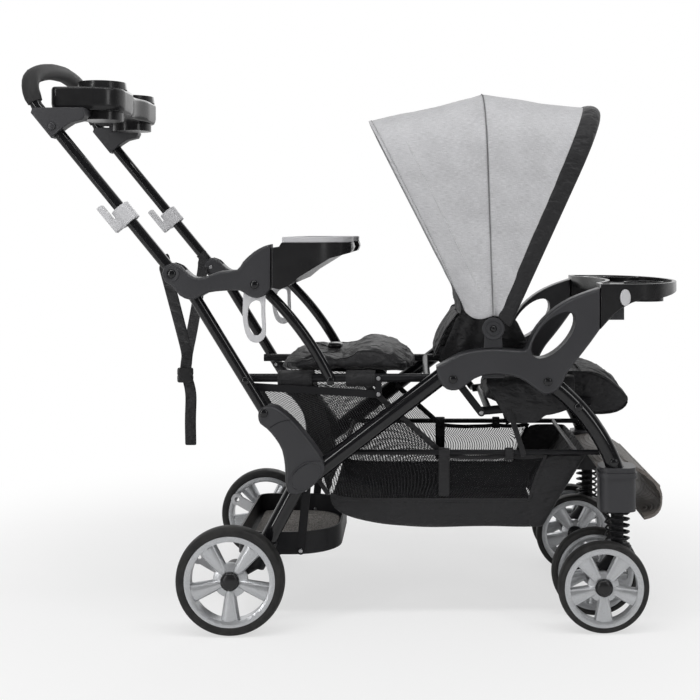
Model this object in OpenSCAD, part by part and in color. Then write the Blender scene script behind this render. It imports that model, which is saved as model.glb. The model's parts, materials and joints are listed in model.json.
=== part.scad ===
// Tandem stroller with a front seat, a rear bench and a standing platform.
// Millimetres. +X is the way it rolls, +Y its left side, +Z up from the floor.

/* [Wheels] */
// Rear wheel diameter
rear_wheel_d = 200; // [180:1:215]
// Rear tyre width
rear_tyre_w = 36; // [30:1:38]
// Rear tread outside the side frame
rear_out = 49; // [47:1:58]
// Front wheel diameter
front_wheel_d = 168; // [150:1:170]
// Front tyre width
front_tyre_w = 30; // [24:1:32]
// Half the distance between the two wheels of a caster
twin_half = 52; // [51:1:58]
// Radial height of the rear tyre
rear_tyre_h = 17; // [14:1:20]
// Radial height of the front tyre
front_tyre_h = 11.5; // [10:0.5:14]
// Radial depth of the rim ring
rim_ring = 10.5; // [8:0.5:12]
// Hub cap diameter
cap_d = 33; // [28:1:36]
// Hub cap height
cap_h = 7; // [5:0.5:9]
// Spokes in each wheel
spokes = 5; // [4:1:7]
// Spoke width at the hub
spoke_in = 13; // [10:1:16]
// Spoke width at the rim
spoke_out = 36; // [28:1:40]
// Axle diameter
axle_d = 12; // [10:0.5:14]

/* [Frame stations] */
// Rear axle from the middle
rear_axle_x = -229; // [-240:1:-222]
// Caster swivel axis from the middle
caster_x = 489; // [486:1:494]
// Distance that a front axle trails its swivel axis
trail = 34; // [28:1:40]
// Caster inside the side frame
caster_in = 17; // [13:1:21]
// Half the distance between the side frames
frame_half = 215; // [213:1:219]
// Bend of the main tube from the middle
bend_x = -114; // [-118:1:-110]
// Bend of the main tube above the floor
bend_z = 259; // [254:1:264]
// Slope of the rear leg
leg_slope = 61.7; // [60:0.1:63]
// Length of the rear leg below the bend
leg_len = 160; // [150:1:165]
// Slope of the main tube
main_slope = 37.4; // [36:0.1:39]
// Main tube diameter
main_d = 32; // [30:0.5:34]
// Rear bolt of the side arch from the middle
arch_x = 179; // [176:1:182]
// Rear bolt of the side arch above the floor
arch_z = 464; // [461:1:467]
// Distance between the two bolts of the side arch
arch_span = 175.5; // [172:0.5:180]
// Bend radius of the front leg
front_leg_r = 336; // [330:1:345]
// Angle through which the front leg bends
front_leg_angle = 40; // [39:0.5:41]
// Side tube diameter (uprights and handle)
side_d = 22; // [20:0.5:24]
// Fold hub from the middle
hub_x = -342.7; // [-348:0.5:-338]
// Fold hub above the floor
hub_z = 658.8; // [655:0.5:663]
// Foot bolt of the upright behind the bend
foot_back = 58; // [56:1:60]
// Foot bolt of the upright above the bend
foot_up = 142; // [139:1:145]
// Distance from the fold hub to the seam of the arm
arm_len = 184; // [181:1:187]
// Width of the moulded side pieces
mould_w = 44; // [42:1:47]
// Edge radius of the moulded side pieces
mould_r = 6; // [4:0.5:8]
// Bolt diameter
bolt_d = 8; // [7:0.5:9]
// Bolt head diameter
head_d = 16; // [13:1:18]
// Bolt head height
head_h = 4.5; // [3:0.5:6]

/* [Handle] */
// Slope of the handle tube
handle_slope = 129.27; // [128:0.1:130.5]
// Straight length of the handle tube
handle_len = 404; // [395:1:410]
// Rise of the grip above the straight tube
grip_rise = 87; // [82:1:95]
// Foam diameter
foam_d = 32; // [29:0.5:36]
// Distance along the tube to the tray bolt
bracket_at = 354; // [350:1:358]
// Length of the parent tray along the way it rolls
parent_l = 132; // [124:1:138]
// Parent tray inside the side frame
parent_in = 29; // [25:1:39]
// Height of the parent tray wall
parent_h = 44; // [38:1:50]
// Cup diameter in the parent tray
parent_cup_d = 74; // [66:1:78]
// Depth of the cups below the tray wall
parent_cup_drop = 16; // [12:1:24]
// Distance along the tube to the trigger
trigger_at = 142; // [130:1:160]
// Length of the trigger collar
trigger_l = 36; // [30:1:40]
// Diameter of the trigger collar
trigger_d = 37; // [33:0.5:40]
// Length of the trigger hook
hook_l = 58; // [48:1:64]

/* [Trays and seats] */
// Length of the rear tray
rear_tray_l = 146; // [136:1:152]
// Height of the rear tray rim
rim_h = 11; // [8:0.5:14]
// Top of the front tray above the floor
tray_top = 640; // [637:1:646]
// Front of the front tray from the middle
tray_front = 633; // [626:1:640]
// Depth of the front tray dish
tray_dish = 9; // [6:0.5:11]
// Cup diameter in the front tray
tray_cup_d = 70; // [64:1:74]
// Seat rail diameter
rail_d = 16; // [14:0.5:18]
// Height of the rear seat rail
rail_z = 460; // [457:1:463]
// Seat pads inside the side frame
pad_in = 57; // [55:1:65]
// Rear pad thickness
rear_pad_h = 30; // [24:1:36]
// Length of the front seat back
back_l = 330; // [310:1:340]
// Slope of the front seat back
back_slope = 99; // [98:0.5:100]
// Thickness of the front seat back
back_t = 34; // [28:1:38]
// Basket rail height
basket_rail_z = 320; // [316:1:324]
// Basket floor height
basket_z = 177; // [172:1:186]
// Basket cloth thickness
cloth_t = 2.5; // [1.8:0.1:3]
// Standing platform length
platform_l = 195; // [188:1:205]
// Standing platform inside the side frame
platform_in = 45; // [44:1:51]
// Height of the platform wall
platform_h = 43; // [36:1:46]
// Length of the front seat pad
seat_l = 272; // [262:1:280]
// Foot rest thickness
rest_t = 6; // [4:0.5:8]

/* [Canopy] */
// Canopy pivot from the middle
canopy_x = 254; // [250:1:258]
// Canopy pivot above the floor
canopy_z = 556; // [552:1:560]
// Rear, middle and front bow angles
bow_angles = [120.3, 91.8, 63.8];
// Rear, middle and front bow reach
bow_reach = [454, 441, 462];
// Bow diameter
bow_d = 7; // [6:0.5:8]
// Corner radius of the bows
bow_corner = 120; // [90:1:140]
// Canopy cloth thickness
canopy_t = 2; // [1.5:0.1:3]

/* [Casters] */
// Spring outside diameter
spring_d = 49; // [44:0.5:52]
// Spring wire diameter
wire_d = 5.2; // [4:0.2:6]
// Spring turns
turns = 5.5; // [5:0.5:6]
// Height of the spring seat
seat_z = 147; // [143:1:150]
// Height of the bottom of the leg socket
socket_z = 216; // [212:1:222]
// Height of the leg socket
socket_h = 82; // [76:1:88]
// Length of the leg socket
socket_l = 68; // [62:1:72]
// Width of the leg socket
socket_w = 64; // [58:1:68]
// Strut post diameter
post_d = 24; // [20:0.5:28]
// Suspension travel
travel = 12; // [8:0.5:14]

/* [Small sizes] */
// Seat rail inside the side frame
rail_in = 32; // [30:0.5:34]
// Front seat rail inside the side frame
front_rail_in = 47; // [45:1:50]
// Basket rail inside the side frame
basket_in = 26; // [24:0.5:28]
// Basket rail diameter
basket_d = 10; // [8:0.5:11]
// Armrest strut inside the side frame
strut_in = 10; // [9:0.5:11]
// Angle through which the armrest strut bends
strut_turn = 22; // [18:1:26]
// Strut bolt ahead of the upright
strut_ahead = 158; // [154:1:162]
// Link bar bolt ahead of the upright
link_ahead = 247; // [242:1:252]
// Link bar width
link_w = 14; // [12:0.5:16]
// Link bar thickness
link_t = 4; // [3:0.5:5]
// Hanger bolt ahead of the bend
hanger_ahead = 16; // [14:0.5:18]
// Hanger bolt below the bend
hanger_below = 6; // [4:0.5:8]
// Lower hanger bolt above the rear axle
hanger_up = 30; // [28:0.5:33]
// Seat back pivot ahead of the rear arch bolt
back_ahead = 43; // [41:0.5:46]
// Seat back pivot above the rear arch bolt
back_up = 24; // [22:0.5:26]
// Seat back pivot rod diameter
back_rod_d = 10; // [8:0.5:11]
// Front seat rail behind its bolt
front_rail_back = 178; // [172:1:182]
// Webbing width
web_w = 24; // [20:1:28]
// Webbing thickness
web_t = 2; // [1.6:0.1:2.6]
// Loop thickness
loop_t = 6; // [5:0.25:6.5]
// Brake lever thickness
brake_t = 9; // [7:0.5:9.5]
// Button width
button_w = 20; // [16:0.5:22]
// Button height
button_h = 32; // [28:0.5:34]
// Corner radius of the trays
tray_corner = 32; // [24:1:40]
// Running fit of the turning and sliding pieces
run_fit = 0.06; // [0.03:0.01:0.1]
// Clearance of fixed joints
fit = 0.15; // [0.1:0.05:0.25]
// Air between neighbouring pieces
gap = 0.4; // [0.3:0.05:0.5]
// Moulding wall
wall = 3; // [2.6:0.1:3.6]
// Thin wall
thin = 2; // [1.6:0.1:2.4]

/* [Hidden] */
$fn = 40;

// widths of the pieces that stand with the side frames
rear_half = frame_half + rear_out;
caster_half = frame_half - caster_in;
pad_half = frame_half - pad_in;
platform_half = frame_half - platform_in;
parent_half = frame_half - parent_in;

// side stations, as X and Z
axle_p = [rear_axle_x, rear_wheel_d/2];
bend_p = [bend_x, bend_z];
leg_dir = [cos(leg_slope), sin(leg_slope)];
main_dir = [cos(main_slope), sin(main_slope)];
leg_foot = bend_p - leg_len*leg_dir;
arch_p = [arch_x, arch_z];
arch_front_p = arch_p + [arch_span, -arch_span*0.026];
main_end = bend_p + main_dir*((arch_x - bend_x)/cos(main_slope));
hub_p = [hub_x, hub_z];
foot_p = bend_p + [-foot_back, foot_up];
upright_top = hub_p + arm_len*[0.17, -0.17];
upright_dir = (upright_top - foot_p)/norm(upright_top - foot_p);
upright_low = foot_p - upright_dir*side_d*0.6;
rail_bolt = foot_p + upright_dir*((rail_z - 0.04*side_d - foot_p[1])/upright_dir[1]);
pivot_p = hub_p + arm_len*[0.835, -0.108];
leg_c = arch_front_p + front_leg_r*[-sin(34), -cos(34)];
caster_p = [caster_x, front_wheel_d/2];
front_axle_p = caster_p - [trail, 0];
canopy_p = [canopy_x, canopy_z];
rail_y = frame_half - rail_in;
front_rail_y = frame_half - front_rail_in;
front_rail_bolt = leg_c + front_leg_r*[cos(43.2), sin(43.2)];
leg_top_angle = 57.5;
socket_top = socket_z + socket_h;
leg_low_z = socket_top + head_d/2 + thin;
leg_low_bolt = [leg_c[0] + sqrt(pow(front_leg_r, 2) - pow(leg_low_z - leg_c[1], 2)), leg_low_z];
mould_in = frame_half - mould_w/2;
mould_out = frame_half + mould_w/2;
strut_y = frame_half - strut_in;
strut_d = 0.91*side_d;
strut_top = pivot_p + arm_len*[0.075, -0.055];
strut_low = [rail_bolt[0] + strut_ahead, rail_z - thin];
strut_chord = strut_low - strut_top;
strut_r = norm(strut_chord)/(2*sin(strut_turn/2));
strut_head = atan2(strut_chord[1], strut_chord[0]) + strut_turn/2;
strut_c = strut_top + strut_r*[sin(strut_head), -cos(strut_head)];
rear_tray_x = hub_x + arm_len;
rear_tray_top = hub_z + arm_len*0.345;
link_front = [rail_bolt[0] + link_ahead, rail_z - 1.9*rail_d];
link_rear_z = link_front[1] + 0.9*rail_d;
link_rear = foot_p + upright_dir*((link_rear_z - foot_p[1])/upright_dir[1]);
link_rail = [link_front[0], rail_z];
hanger_top = bend_p + [hanger_ahead, -hanger_below];
hanger_low = [bend_x + 0.3*hanger_ahead, axle_p[1] + hanger_up];
hanger_y = platform_half + thin;

function at(p, y) = [p[0], y, p[1]];
function pt_at(o, k, shares) = [for (s = shares) o + k*s];
function rev(p) = [for (i = [len(p)-1:-1:0]) p[i]];
function unit(v) = v/norm(v);
function cubic(a, b, c, d, t) = 0.5*(2*b + (c-a)*t + (2*a-5*b+4*c-d)*t*t + (3*b-a-3*c+d)*t*t*t);
function spline(p, n) = let(m = len(p)-1) concat([for (i = [0:m-1], j = [0:n-1])
  cubic(p[max(i-1, 0)], p[i], p[i+1], p[min(i+2, m)], j/n)], [p[m]]);
function ring_spline(p, n) = let(m = len(p)) [for (i = [0:m-1], j = [0:n-1])
  cubic(p[(i+m-1)%m], p[i], p[(i+1)%m], p[(i+2)%m], j/n)];
function edge_n(a, b) = let(d = b-a) [d[1], -d[0]]/norm(d);
function inset(p, d) = let(n = len(p)) [for (i = [0:n-1])
  p[i] - d*unit(edge_n(p[(i+n-1)%n], p[i]) + edge_n(p[i], p[(i+1)%n]))];
function strip(p, t) = let(n = len(p)-1, m = [for (i = [0:n])
  unit(edge_n(p[max(i-1, 0)], p[max(i, 1)]) + edge_n(p[min(i, n-1)], p[min(i+1, n)]))])
  concat([for (i = [0:n]) p[i] + t/2*m[i]], [for (i = [n:-1:0]) p[i] - t/2*m[i]]);
function tangent(p, i) = unit(p[min(i+1, len(p)-1)] - p[max(i-1, 0)]);
function tube_ring(c, t, ref, r, m) = let(a = unit(ref - (ref*t)*t), b = cross(a, t))
  [for (k = [0:m-1]) c + r*(cos(360*k/m)*a + sin(360*k/m)*b)];
function sweep_rings(p, ref, r, m) = [for (i = [0:len(p)-1]) tube_ring(p[i], tangent(p, i), ref, r, m)];

module rod(p, q, d) {
  v = q - p;
  translate(p) rotate([0, acos(v[2]/norm(v)), atan2(v[1], v[0])]) cylinder(h = norm(v), d = d);
}
module pin(p, y0, y1, d) {
  translate([p[0], y0, p[1]]) rotate([-90, 0, 0]) cylinder(h = y1 - y0, d = d);
}
module turned(p, y) {
  translate([p[0], y, p[1]]) rotate([-90, 0, 0]) rotate_extrude($fn = 64) children();
}
module arc_tube(c, r, a0, a1, d, y) {
  translate([c[0], y, c[1]]) rotate([90, 0, 0]) rotate([0, 0, a0])
    rotate_extrude(angle = a1 - a0) translate([r, 0]) circle(d = d);
}
module slab(pts, y0, y1) {
  translate([0, y1, 0]) rotate([90, 0, 0]) linear_extrude(height = y1 - y0) polygon(pts);
}
// triangles of a flat outline, cut off ear by ear
function turn(a, b, c) = (b[0] - a[0])*(c[1] - a[1]) - (b[1] - a[1])*(c[0] - a[0]);
function inside(q, a, b, c, w) = w*turn(a, b, q) >= 0 && w*turn(b, c, q) >= 0 && w*turn(c, a, q) >= 0;
function is_ear(p, k, i, w) = let(n = len(k), h = (i+n-1)%n, j = (i+1)%n, a = p[k[h]], b = p[k[i]], c = p[k[j]])
  w*turn(a, b, c) > 0 && len([for (m = [0:n-1]) if (m != h && m != i && m != j && inside(p[k[m]], a, b, c, w)) m]) == 0;
function next_ear(p, k, i, w, tries = 0) = tries > len(k) || is_ear(p, k, i%len(k), w) ? i%len(k) : next_ear(p, k, i + 1, w, tries + 1);
function ears(p, k, i, w) = len(k) < 4 ? [k] : let(n = len(k), e = next_ear(p, k, i, w))
  concat([[k[(e+n-1)%n], k[e], k[(e+1)%n]]], ears(p, [for (j = [0:n-1]) if (j != e) k[j]], e + 1, w));
function outline_turn(p) = sign([for (q = p) 1]*[for (j = [0:len(p)-1]) turn(p[0], p[j], p[(j+1)%len(p)])]);
function cap_faces(ring) = let(p = [for (q = ring) [q[0], q[2]]], w = outline_turn(p))
  w == 0 ? [[for (j = [0:len(p)-1]) j]] : ears(p, [for (j = [0:len(p)-1]) j], 0, w);
module loft(rings, closed = false) {
  n = len(rings[0]);
  k = len(rings);
  last = closed ? k - 1 : k - 2;
  sides = [for (i = [0:last], j = [0:n-1], h = [0, 1]) let(a = i*n + j, b = i*n + (j+1)%n,
    c = ((i+1)%k)*n + (j+1)%n, d = ((i+1)%k)*n + j) h == 0 ? [a, b, c] : [a, c, d]];
  caps = closed ? [] : concat([for (f = cap_faces(rings[0])) rev(f)],
    [for (f = cap_faces(rings[k-1])) [for (j = f) j + (k-1)*n]]);
  polyhedron(points = [for (r = rings, p = r) p], faces = concat(sides, caps), convexity = 8);
}
// a plate in XZ with rounded edges, from a counter-clockwise outline
module moulded(p, y0, y1, r) {
  steps = [[0, r], [0.29*r, 0.29*r], [r, 0]];
  rings = concat([for (s = steps) [for (q = inset(p, s[1])) at(q, y0 + s[0])]],
    [for (s = rev(steps)) [for (q = inset(p, s[1])) at(q, y1 - s[0])]]);
  loft(rings);
}
module sided(s) {
  if (s > 0) children();
  else mirror([0, 1, 0]) children();
}

// more stations
basket_y = frame_half - basket_in;
basket_rear = [bend_x + (basket_rail_z - bend_z)/tan(main_slope), basket_rail_z];
leg_reach = sqrt(pow(front_leg_r, 2) - pow(basket_rail_z - leg_c[1], 2));
basket_front = [leg_c[0] + leg_reach, basket_rail_z];
basket_bar = basket_rear + [0.8*basket_d, 0];
back_p = arch_p + [back_ahead, back_up];
back_dir = [cos(back_slope), sin(back_slope)];
back_n = [sin(back_slope), -cos(back_slope)];
front_rail_rear = front_rail_bolt - [front_rail_back, 0.09*front_rail_back];
arch_low = arch_p + arch_span*[0.055, -0.06];
socket_y0 = caster_half - 0.47*socket_w;
socket_y1 = frame_half + main_d/2 + wall;
rest_half = socket_y0 - gap;
handle_dir = [cos(handle_slope), sin(handle_slope)];
handle_n = [-sin(handle_slope), cos(handle_slope)];
bracket_p = hub_p + bracket_at*handle_dir;
hub_r = 0.77*side_d;
eye_half = 0.29*mould_w;
hub_half = 0.31*rear_tyre_w;
cap_y = rear_half + hub_half + gap;
front_cap = twin_half + 0.31*front_tyre_w + gap;
fork_half = twin_half - front_tyre_w/2 - thin;
post_top = socket_z + 0.57*socket_h;

function arc_pts(c, r, a0, a1, n) = [for (i = [0:n]) c + r*[cos(a0 + (a1-a0)*i/n), sin(a0 + (a1-a0)*i/n)]];
function round_rect(x0, x1, y0, y1, r) = concat(arc_pts([x0+r, y0+r], r, 180, 270, 5),
  arc_pts([x1-r, y0+r], r, 270, 360, 5), arc_pts([x1-r, y1-r], r, 0, 90, 5), arc_pts([x0+r, y1-r], r, 90, 180, 5));
function d_plan(x0, x1, h, r0, r1) = concat(arc_pts([x0+r0, -h+r0], r0, 180, 270, 5),
  arc_pts([x1-r1, -h+r1], r1, 270, 360, 9), arc_pts([x1-r1, h-r1], r1, 0, 90, 9), arc_pts([x0+r0, h-r0], r0, 90, 180, 5));
function stadium(p, q, w) = let(a = atan2(q[1]-p[1], q[0]-p[0]))
  concat(arc_pts(q, w/2, a-90, a+90, 8), arc_pts(p, w/2, a+90, a+270, 8));
function oval(c, a, b, t, n) = [for (i = [0:n-1]) let(x = a*cos(360*i/n), y = b*sin(360*i/n))
  c + [x*cos(t) - y*sin(t), x*sin(t) + y*cos(t)]];
function dome(r, h) = concat([[0, 0], [r, 0]], [for (a = [15:15:90]) [r*cos(a), h*(0.25 + 0.75*sin(a))]]);
// the two profiles of a wheel, as radius and width
function tyre_pts(r, w, h) = concat([[r-h, w/2*0.9]], [for (t = [0:15:180])
  [r - 0.62*h + 0.62*h*pow(sin(t), 0.6), w/2*cos(t)]], [[r-h, -w/2*0.9]]);
function ring_pts(r, w) = [[r-rim_ring, -0.36*w], [r-0.35*rim_ring, -0.44*w], [r, -0.44*w],
  [r, 0.44*w], [r-0.35*rim_ring, 0.44*w], [r-rim_ring, 0.36*w]];
// pillow: a closed profile in XZ that draws in towards its two ends
function pillow_rings(p, h, k, n) = let(c = [for (i = [0, 1]) (max([for (q = p) q[i]]) + min([for (q = p) q[i]]))/2])
  [for (i = [0:n]) let(v = -cos(180*i/n), s = 1 - k*pow(abs(v), 6)) [for (q = p) at(c + s*(q-c), h*v)]];

// bolts as rows of station, inner end, outer end; the first nine have heads
bolt_rows = [
  [hub_p, mould_in - thin, mould_out],
  [pivot_p, mould_in + thin, mould_out],
  [foot_p, frame_half - wall, mould_out],
  [rail_bolt, rail_y - rail_d*0.3, frame_half + side_d/2],
  [strut_low, rail_y - rail_d*0.3, strut_y + strut_d/2],
  [arch_p, frame_half + wall, mould_out],
  [arch_front_p, frame_half + wall, mould_out],
  [front_rail_bolt, front_rail_y - rail_d*0.3, frame_half + main_d/2],
  [leg_low_bolt, frame_half - wall, frame_half + main_d/2],
  [hanger_top, platform_half + thin - gap, frame_half - 3*wall],
  [hanger_low, platform_half - 2*wall, platform_half + 2*thin + link_t],
  [link_rear, mould_in - thin - link_t, frame_half - wall],
  [link_front, mould_in - thin - 1.5*link_t, mould_in + 2*gap],
  [arch_low, mould_in - link_t - thin, mould_in + 2*wall],
  [front_rail_rear, front_rail_y - rail_d*0.3, mould_in - gap],
  [basket_rear, basket_y - basket_d*0.3, frame_half - 2*wall],
  [basket_front, basket_y - basket_d*0.3, frame_half - 2*wall],
  [link_rail, rail_y - rail_d*0.3, mould_in + 2*gap]];
headed = 9;
module bolts_side(grow) {
  for (i = [0:len(bolt_rows)-1]) pin(bolt_rows[i][0], bolt_rows[i][1] - grow, bolt_rows[i][2] + grow, bolt_d + 2*grow);
}
// holes for the rows that a piece needs
module holes(rows) {
  for (i = rows) pin(bolt_rows[i][0], bolt_rows[i][1] - fit, bolt_rows[i][2] + fit, bolt_d + 2*fit);
}

module main_tube_side(grow = 0) {
  rod(at(leg_foot, frame_half), at(bend_p, frame_half), main_d + 2*grow);
  translate(at(bend_p, frame_half)) sphere(d = main_d + 2*grow);
  rod(at(bend_p, frame_half), at(main_end, frame_half), main_d + 2*grow);
}
module main_tubes() {
  color("#17181a") for (s = [-1, 1]) sided(s) difference() {
    main_tube_side();
    holes([5, 9, 15]);
  }
}

module front_leg_side(grow = 0) {
  arc_tube(leg_c, front_leg_r, leg_top_angle - front_leg_angle, leg_top_angle, main_d + 2*grow, frame_half);
}
module front_legs() {
  color("#17181a") for (s = [-1, 1]) sided(s) difference() {
    front_leg_side();
    holes([6, 7, 8, 16]);
  }
}

arch_top_shares = [[-0.179, 0.126], [-0.063, 0.19], [0.075, 0.264], [0.234, 0.301], [0.446, 0.317],
  [0.626, 0.306], [0.75, 0.3], [0.795, 0.359], [0.848, 0.486], [0.954, 0.629], [1.091, 0.751],
  [1.239, 0.841], [1.398, 0.909], [1.557, 0.962]];
arch_low_shares = [[1.557, 0.528], [1.451, 0.38], [1.345, 0.243], [1.25, 0.126], [1.186, 0.02],
  [1.134, -0.085], [1.07, -0.144], [0.996, -0.165], [0.922, -0.144], [0.816, -0.064], [0.7, 0.005],
  [0.552, 0.042], [0.372, 0.047], [0.223, -0.001], [0.117, -0.085], [0.032, -0.122], [-0.063, -0.112],
  [-0.137, -0.043], [-0.169, 0.042]];
arch_outline = rev(concat(spline(pt_at(arch_p, arch_span, arch_top_shares), 2),
  spline(pt_at(arch_p, arch_span, arch_low_shares), 2)));
arch_hole = oval(arch_p + arch_span*[1.06, 0.465], arch_span*0.308, arch_span*0.15, 47, 32);
seam_x = arch_x + 1.557*arch_span;
tongue_l = 0.26*arch_span;
tongue_z = [arch_z + 0.62*arch_span, arch_z + 0.86*arch_span];
module tongue(grow, far) {
  translate([seam_x - 2*mould_r, frame_half - 0.2*mould_w - grow, tongue_z[0] - grow])
    cube([2*mould_r + tongue_l + far, 0.4*mould_w + 2*grow, tongue_z[1] - tongue_z[0] + 2*grow]);
}
module side_arch_side() {
  difference() {
    union() {
      difference() {
        moulded(arch_outline, mould_in, mould_out, mould_r);
        slab(arch_hole, mould_in - thin, mould_out + thin);
      }
      tongue(0, 0);
    }
    main_tube_side(fit);
    front_leg_side(fit);
    holes([5, 6, 13]);
    pin(back_p, mould_in - thin, mould_in + 4*wall, back_rod_d + 2*run_fit);
  }
}
module side_arch_right() {
  color("#47484b") sided(-1) side_arch_side();
}
module side_arch_left() {
  color("#47484b") sided(1) side_arch_side();
}

knuckle_shares = [[-0.45, 0.885], [-0.425, 0.975], [-0.329, 1.01], [-0.208, 0.98], [-0.04, 0.845], [0.118, 0.665],
  [0.25, 0.49], [0.334, 0.36], [0.358, 0.275], [0.299, 0.14], [0.178, 0.03], [0.057, -0.045], [-0.03, -0.07],
  [-0.1, -0.02], [-0.12, 0.14], [-0.125, 0.281], [-0.16, 0.474], [-0.245, 0.62], [-0.341, 0.73], [-0.425, 0.795]];
knuckle_k = norm(foot_p - bend_p);
knuckle_outline = rev(ring_spline(pt_at(bend_p, knuckle_k, knuckle_shares), 2));
module rear_knuckles() {
  color("#47484b") for (s = [-1, 1]) sided(s) difference() {
    union() {
      moulded(knuckle_outline, mould_in, mould_out, mould_r);
      slab(oval(bend_p + knuckle_k*[0.135, 0.15], knuckle_k*0.265, knuckle_k*0.13, 40, 36), mould_out - thin, mould_out + thin);
    }
    main_tube_side(fit);
    upright_side(fit);
    holes([2, 9]);
  }
}

module upright_side(grow = 0) {
  rod(at(upright_low, frame_half), at(upright_top, frame_half), side_d + 2*grow);
}
module uprights() {
  color("#17181a") for (s = [-1, 1]) sided(s) difference() {
    upright_side();
    holes([2, 3, 11]);
  }
}

arm_shares = [[0.008, 0.112], [0.089, 0.082], [0.149, 0.021], [0.23, -0.035], [0.331, -0.029], [0.483, 0.026],
  [0.654, 0.041], [0.715, 0.122], [0.826, 0.223], [0.927, 0.279], [0.998, 0.299]];
arm_low_shares = [[0.998, -0.141], [0.947, -0.211], [0.857, -0.247], [0.766, -0.221], [0.685, -0.171], [0.533, -0.171],
  [0.361, -0.191], [0.271, -0.241], [0.18, -0.262], [0.079, -0.221], [0.008, -0.13], [-0.07, -0.075], [-0.1, 0.01],
  [-0.06, 0.088]];
arm_outline = rev(concat(spline(pt_at(hub_p, arm_len, arm_shares), 2), spline(pt_at(hub_p, arm_len, arm_low_shares), 2)));
loop_y0 = mould_out - 2*wall - loop_t;
module arms() {
  color("#3f4043") for (s = [-1, 1]) sided(s) difference() {
    moulded(arm_outline, mould_in, mould_out, mould_r);
    pin(hub_p, frame_half - eye_half - gap, frame_half + eye_half + gap, 3*hub_r);
    pin(pivot_p, loop_y0 - gap, loop_y0 + loop_t + gap, 0.54*arm_len);
    upright_side(fit);
    strut_side(fit);
    holes([0, 1]);
  }
}

module strut_side(grow = 0) {
  arc_tube(strut_c, strut_r, strut_head + 90 - strut_turn, strut_head + 90, strut_d + 2*grow, strut_y);
}
module armrest_struts() {
  color("#17181a") for (s = [-1, 1]) sided(s) difference() {
    strut_side();
    holes([1, 4]);
  }
}

function socket_plan(out) = round_rect(caster_x - 0.53*socket_l - out, caster_x + 0.47*socket_l + out, socket_y0,
  socket_y1 + out, 0.3*socket_w);
module leg_sockets() {
  color("#202124") for (s = [-1, 1]) sided(s) difference() {
    union() {
      translate([0, 0, socket_z]) linear_extrude(height = socket_h) polygon(socket_plan(0));
      translate([0, 0, socket_top - 0.24*socket_h]) linear_extrude(height = 0.12*socket_h) polygon(socket_plan(thin));
    }
    translate([caster_x, caster_half, socket_z - thin])
      cylinder(h = post_top - socket_z + travel + 2*thin, d = post_d + 2*run_fit);
    front_leg_side(fit);
  }
}

rest_shares = [[-0.4, 0.88], [-0.1, 0.93], [0.2, 0.93], [0.6, 0.79], [1.0, 0.46], [1.2, 0.1], [1.18, -0.14], [0.99, -0.28],
  [0.7, -0.33]];
rest_path = spline(pt_at([caster_x, socket_z], socket_h, rest_shares), 3);
module footrest() {
  color("#6d6762") intersection() {
    union() {
      slab(strip(rest_path, rest_t), -rest_half, rest_half);
      for (i = [7:3:16]) pin(rest_path[i], -0.86*rest_half, 0.86*rest_half, 1.7*rest_t);
    }
    translate([0, 0, socket_z - socket_h]) linear_extrude(height = 3*socket_h)
      polygon(d_plan(caster_x - socket_l, caster_x + 1.28*socket_h, rest_half, wall, 0.42*rest_half));
  }
}

module rear_axle() {
  color("#1b1c1e") {
    pin(axle_p, -cap_y, cap_y, axle_d);
    for (s = [-1, 1]) sided(s) turned(axle_p, cap_y) polygon(dome(cap_d/2, cap_h));
  }
}
foot_low = leg_foot - 0.1*main_d*leg_dir;
module axle_brackets() {
  color("#242528") for (s = [-1, 1]) sided(s) difference() {
    union() {
      pin(axle_p, frame_half - 0.55*main_d, frame_half + 0.55*main_d, 1.3*main_d);
      rod(at(foot_low, frame_half), at(leg_foot + 1.6*main_d*leg_dir, frame_half), main_d + 2.6*wall);
      rod(at(axle_p, frame_half), at(foot_low + 0.3*main_d*leg_dir, frame_half), 0.98*main_d);
    }
    main_tube_side(fit);
    pin(axle_p, 0, rear_half, axle_d + 2*fit);
  }
}

platform_x = rear_axle_x - thin;
platform_z = axle_p[1] + 1.8*axle_d;
platform_plan = d_plan(platform_x, platform_x + platform_l, platform_half, 0.15*platform_half, 0.52*platform_half);
module standing_platform() {
  color("#1d1e20") difference() {
    translate([0, 0, platform_z]) linear_extrude(height = platform_h) polygon(platform_plan);
    translate([0, 0, platform_z + 2*wall]) linear_extrude(height = platform_h) polygon(inset(platform_plan, 1.3*wall));
    for (s = [-1, 1]) sided(s) holes([10]);
  }
}
module platform_grip() {
  color("#77787b") {
    translate([0, 0, platform_z + 2*wall]) linear_extrude(height = wall) polygon(inset(platform_plan, 5*wall));
    for (i = [-5:5]) translate([platform_x + 0.2*platform_l, i*0.13*platform_half - thin, platform_z + 2.9*wall])
      cube([0.55*platform_l, 2*thin, 0.7*wall]);
  }
}

module link_bars() {
  color("#1b1c1e") for (s = [-1, 1]) sided(s) difference() {
    union() {
      slab(stadium(link_rear, link_front, link_w), mould_in - thin - link_t, mould_in - thin);
      slab(stadium(link_front, link_rail, 0.9*link_w), rail_y + rail_d/2 + gap, rail_y + rail_d/2 + gap + thin);
      slab(stadium(arch_low, front_rail_rear, link_w), mould_in - gap - link_t, mould_in - gap);
      slab(stadium(hanger_top, hanger_low, 1.15*link_w), platform_half + gap, platform_half + gap + link_t);
    }
    holes([9, 10, 11, 12, 13, 14, 17]);
  }
}

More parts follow.
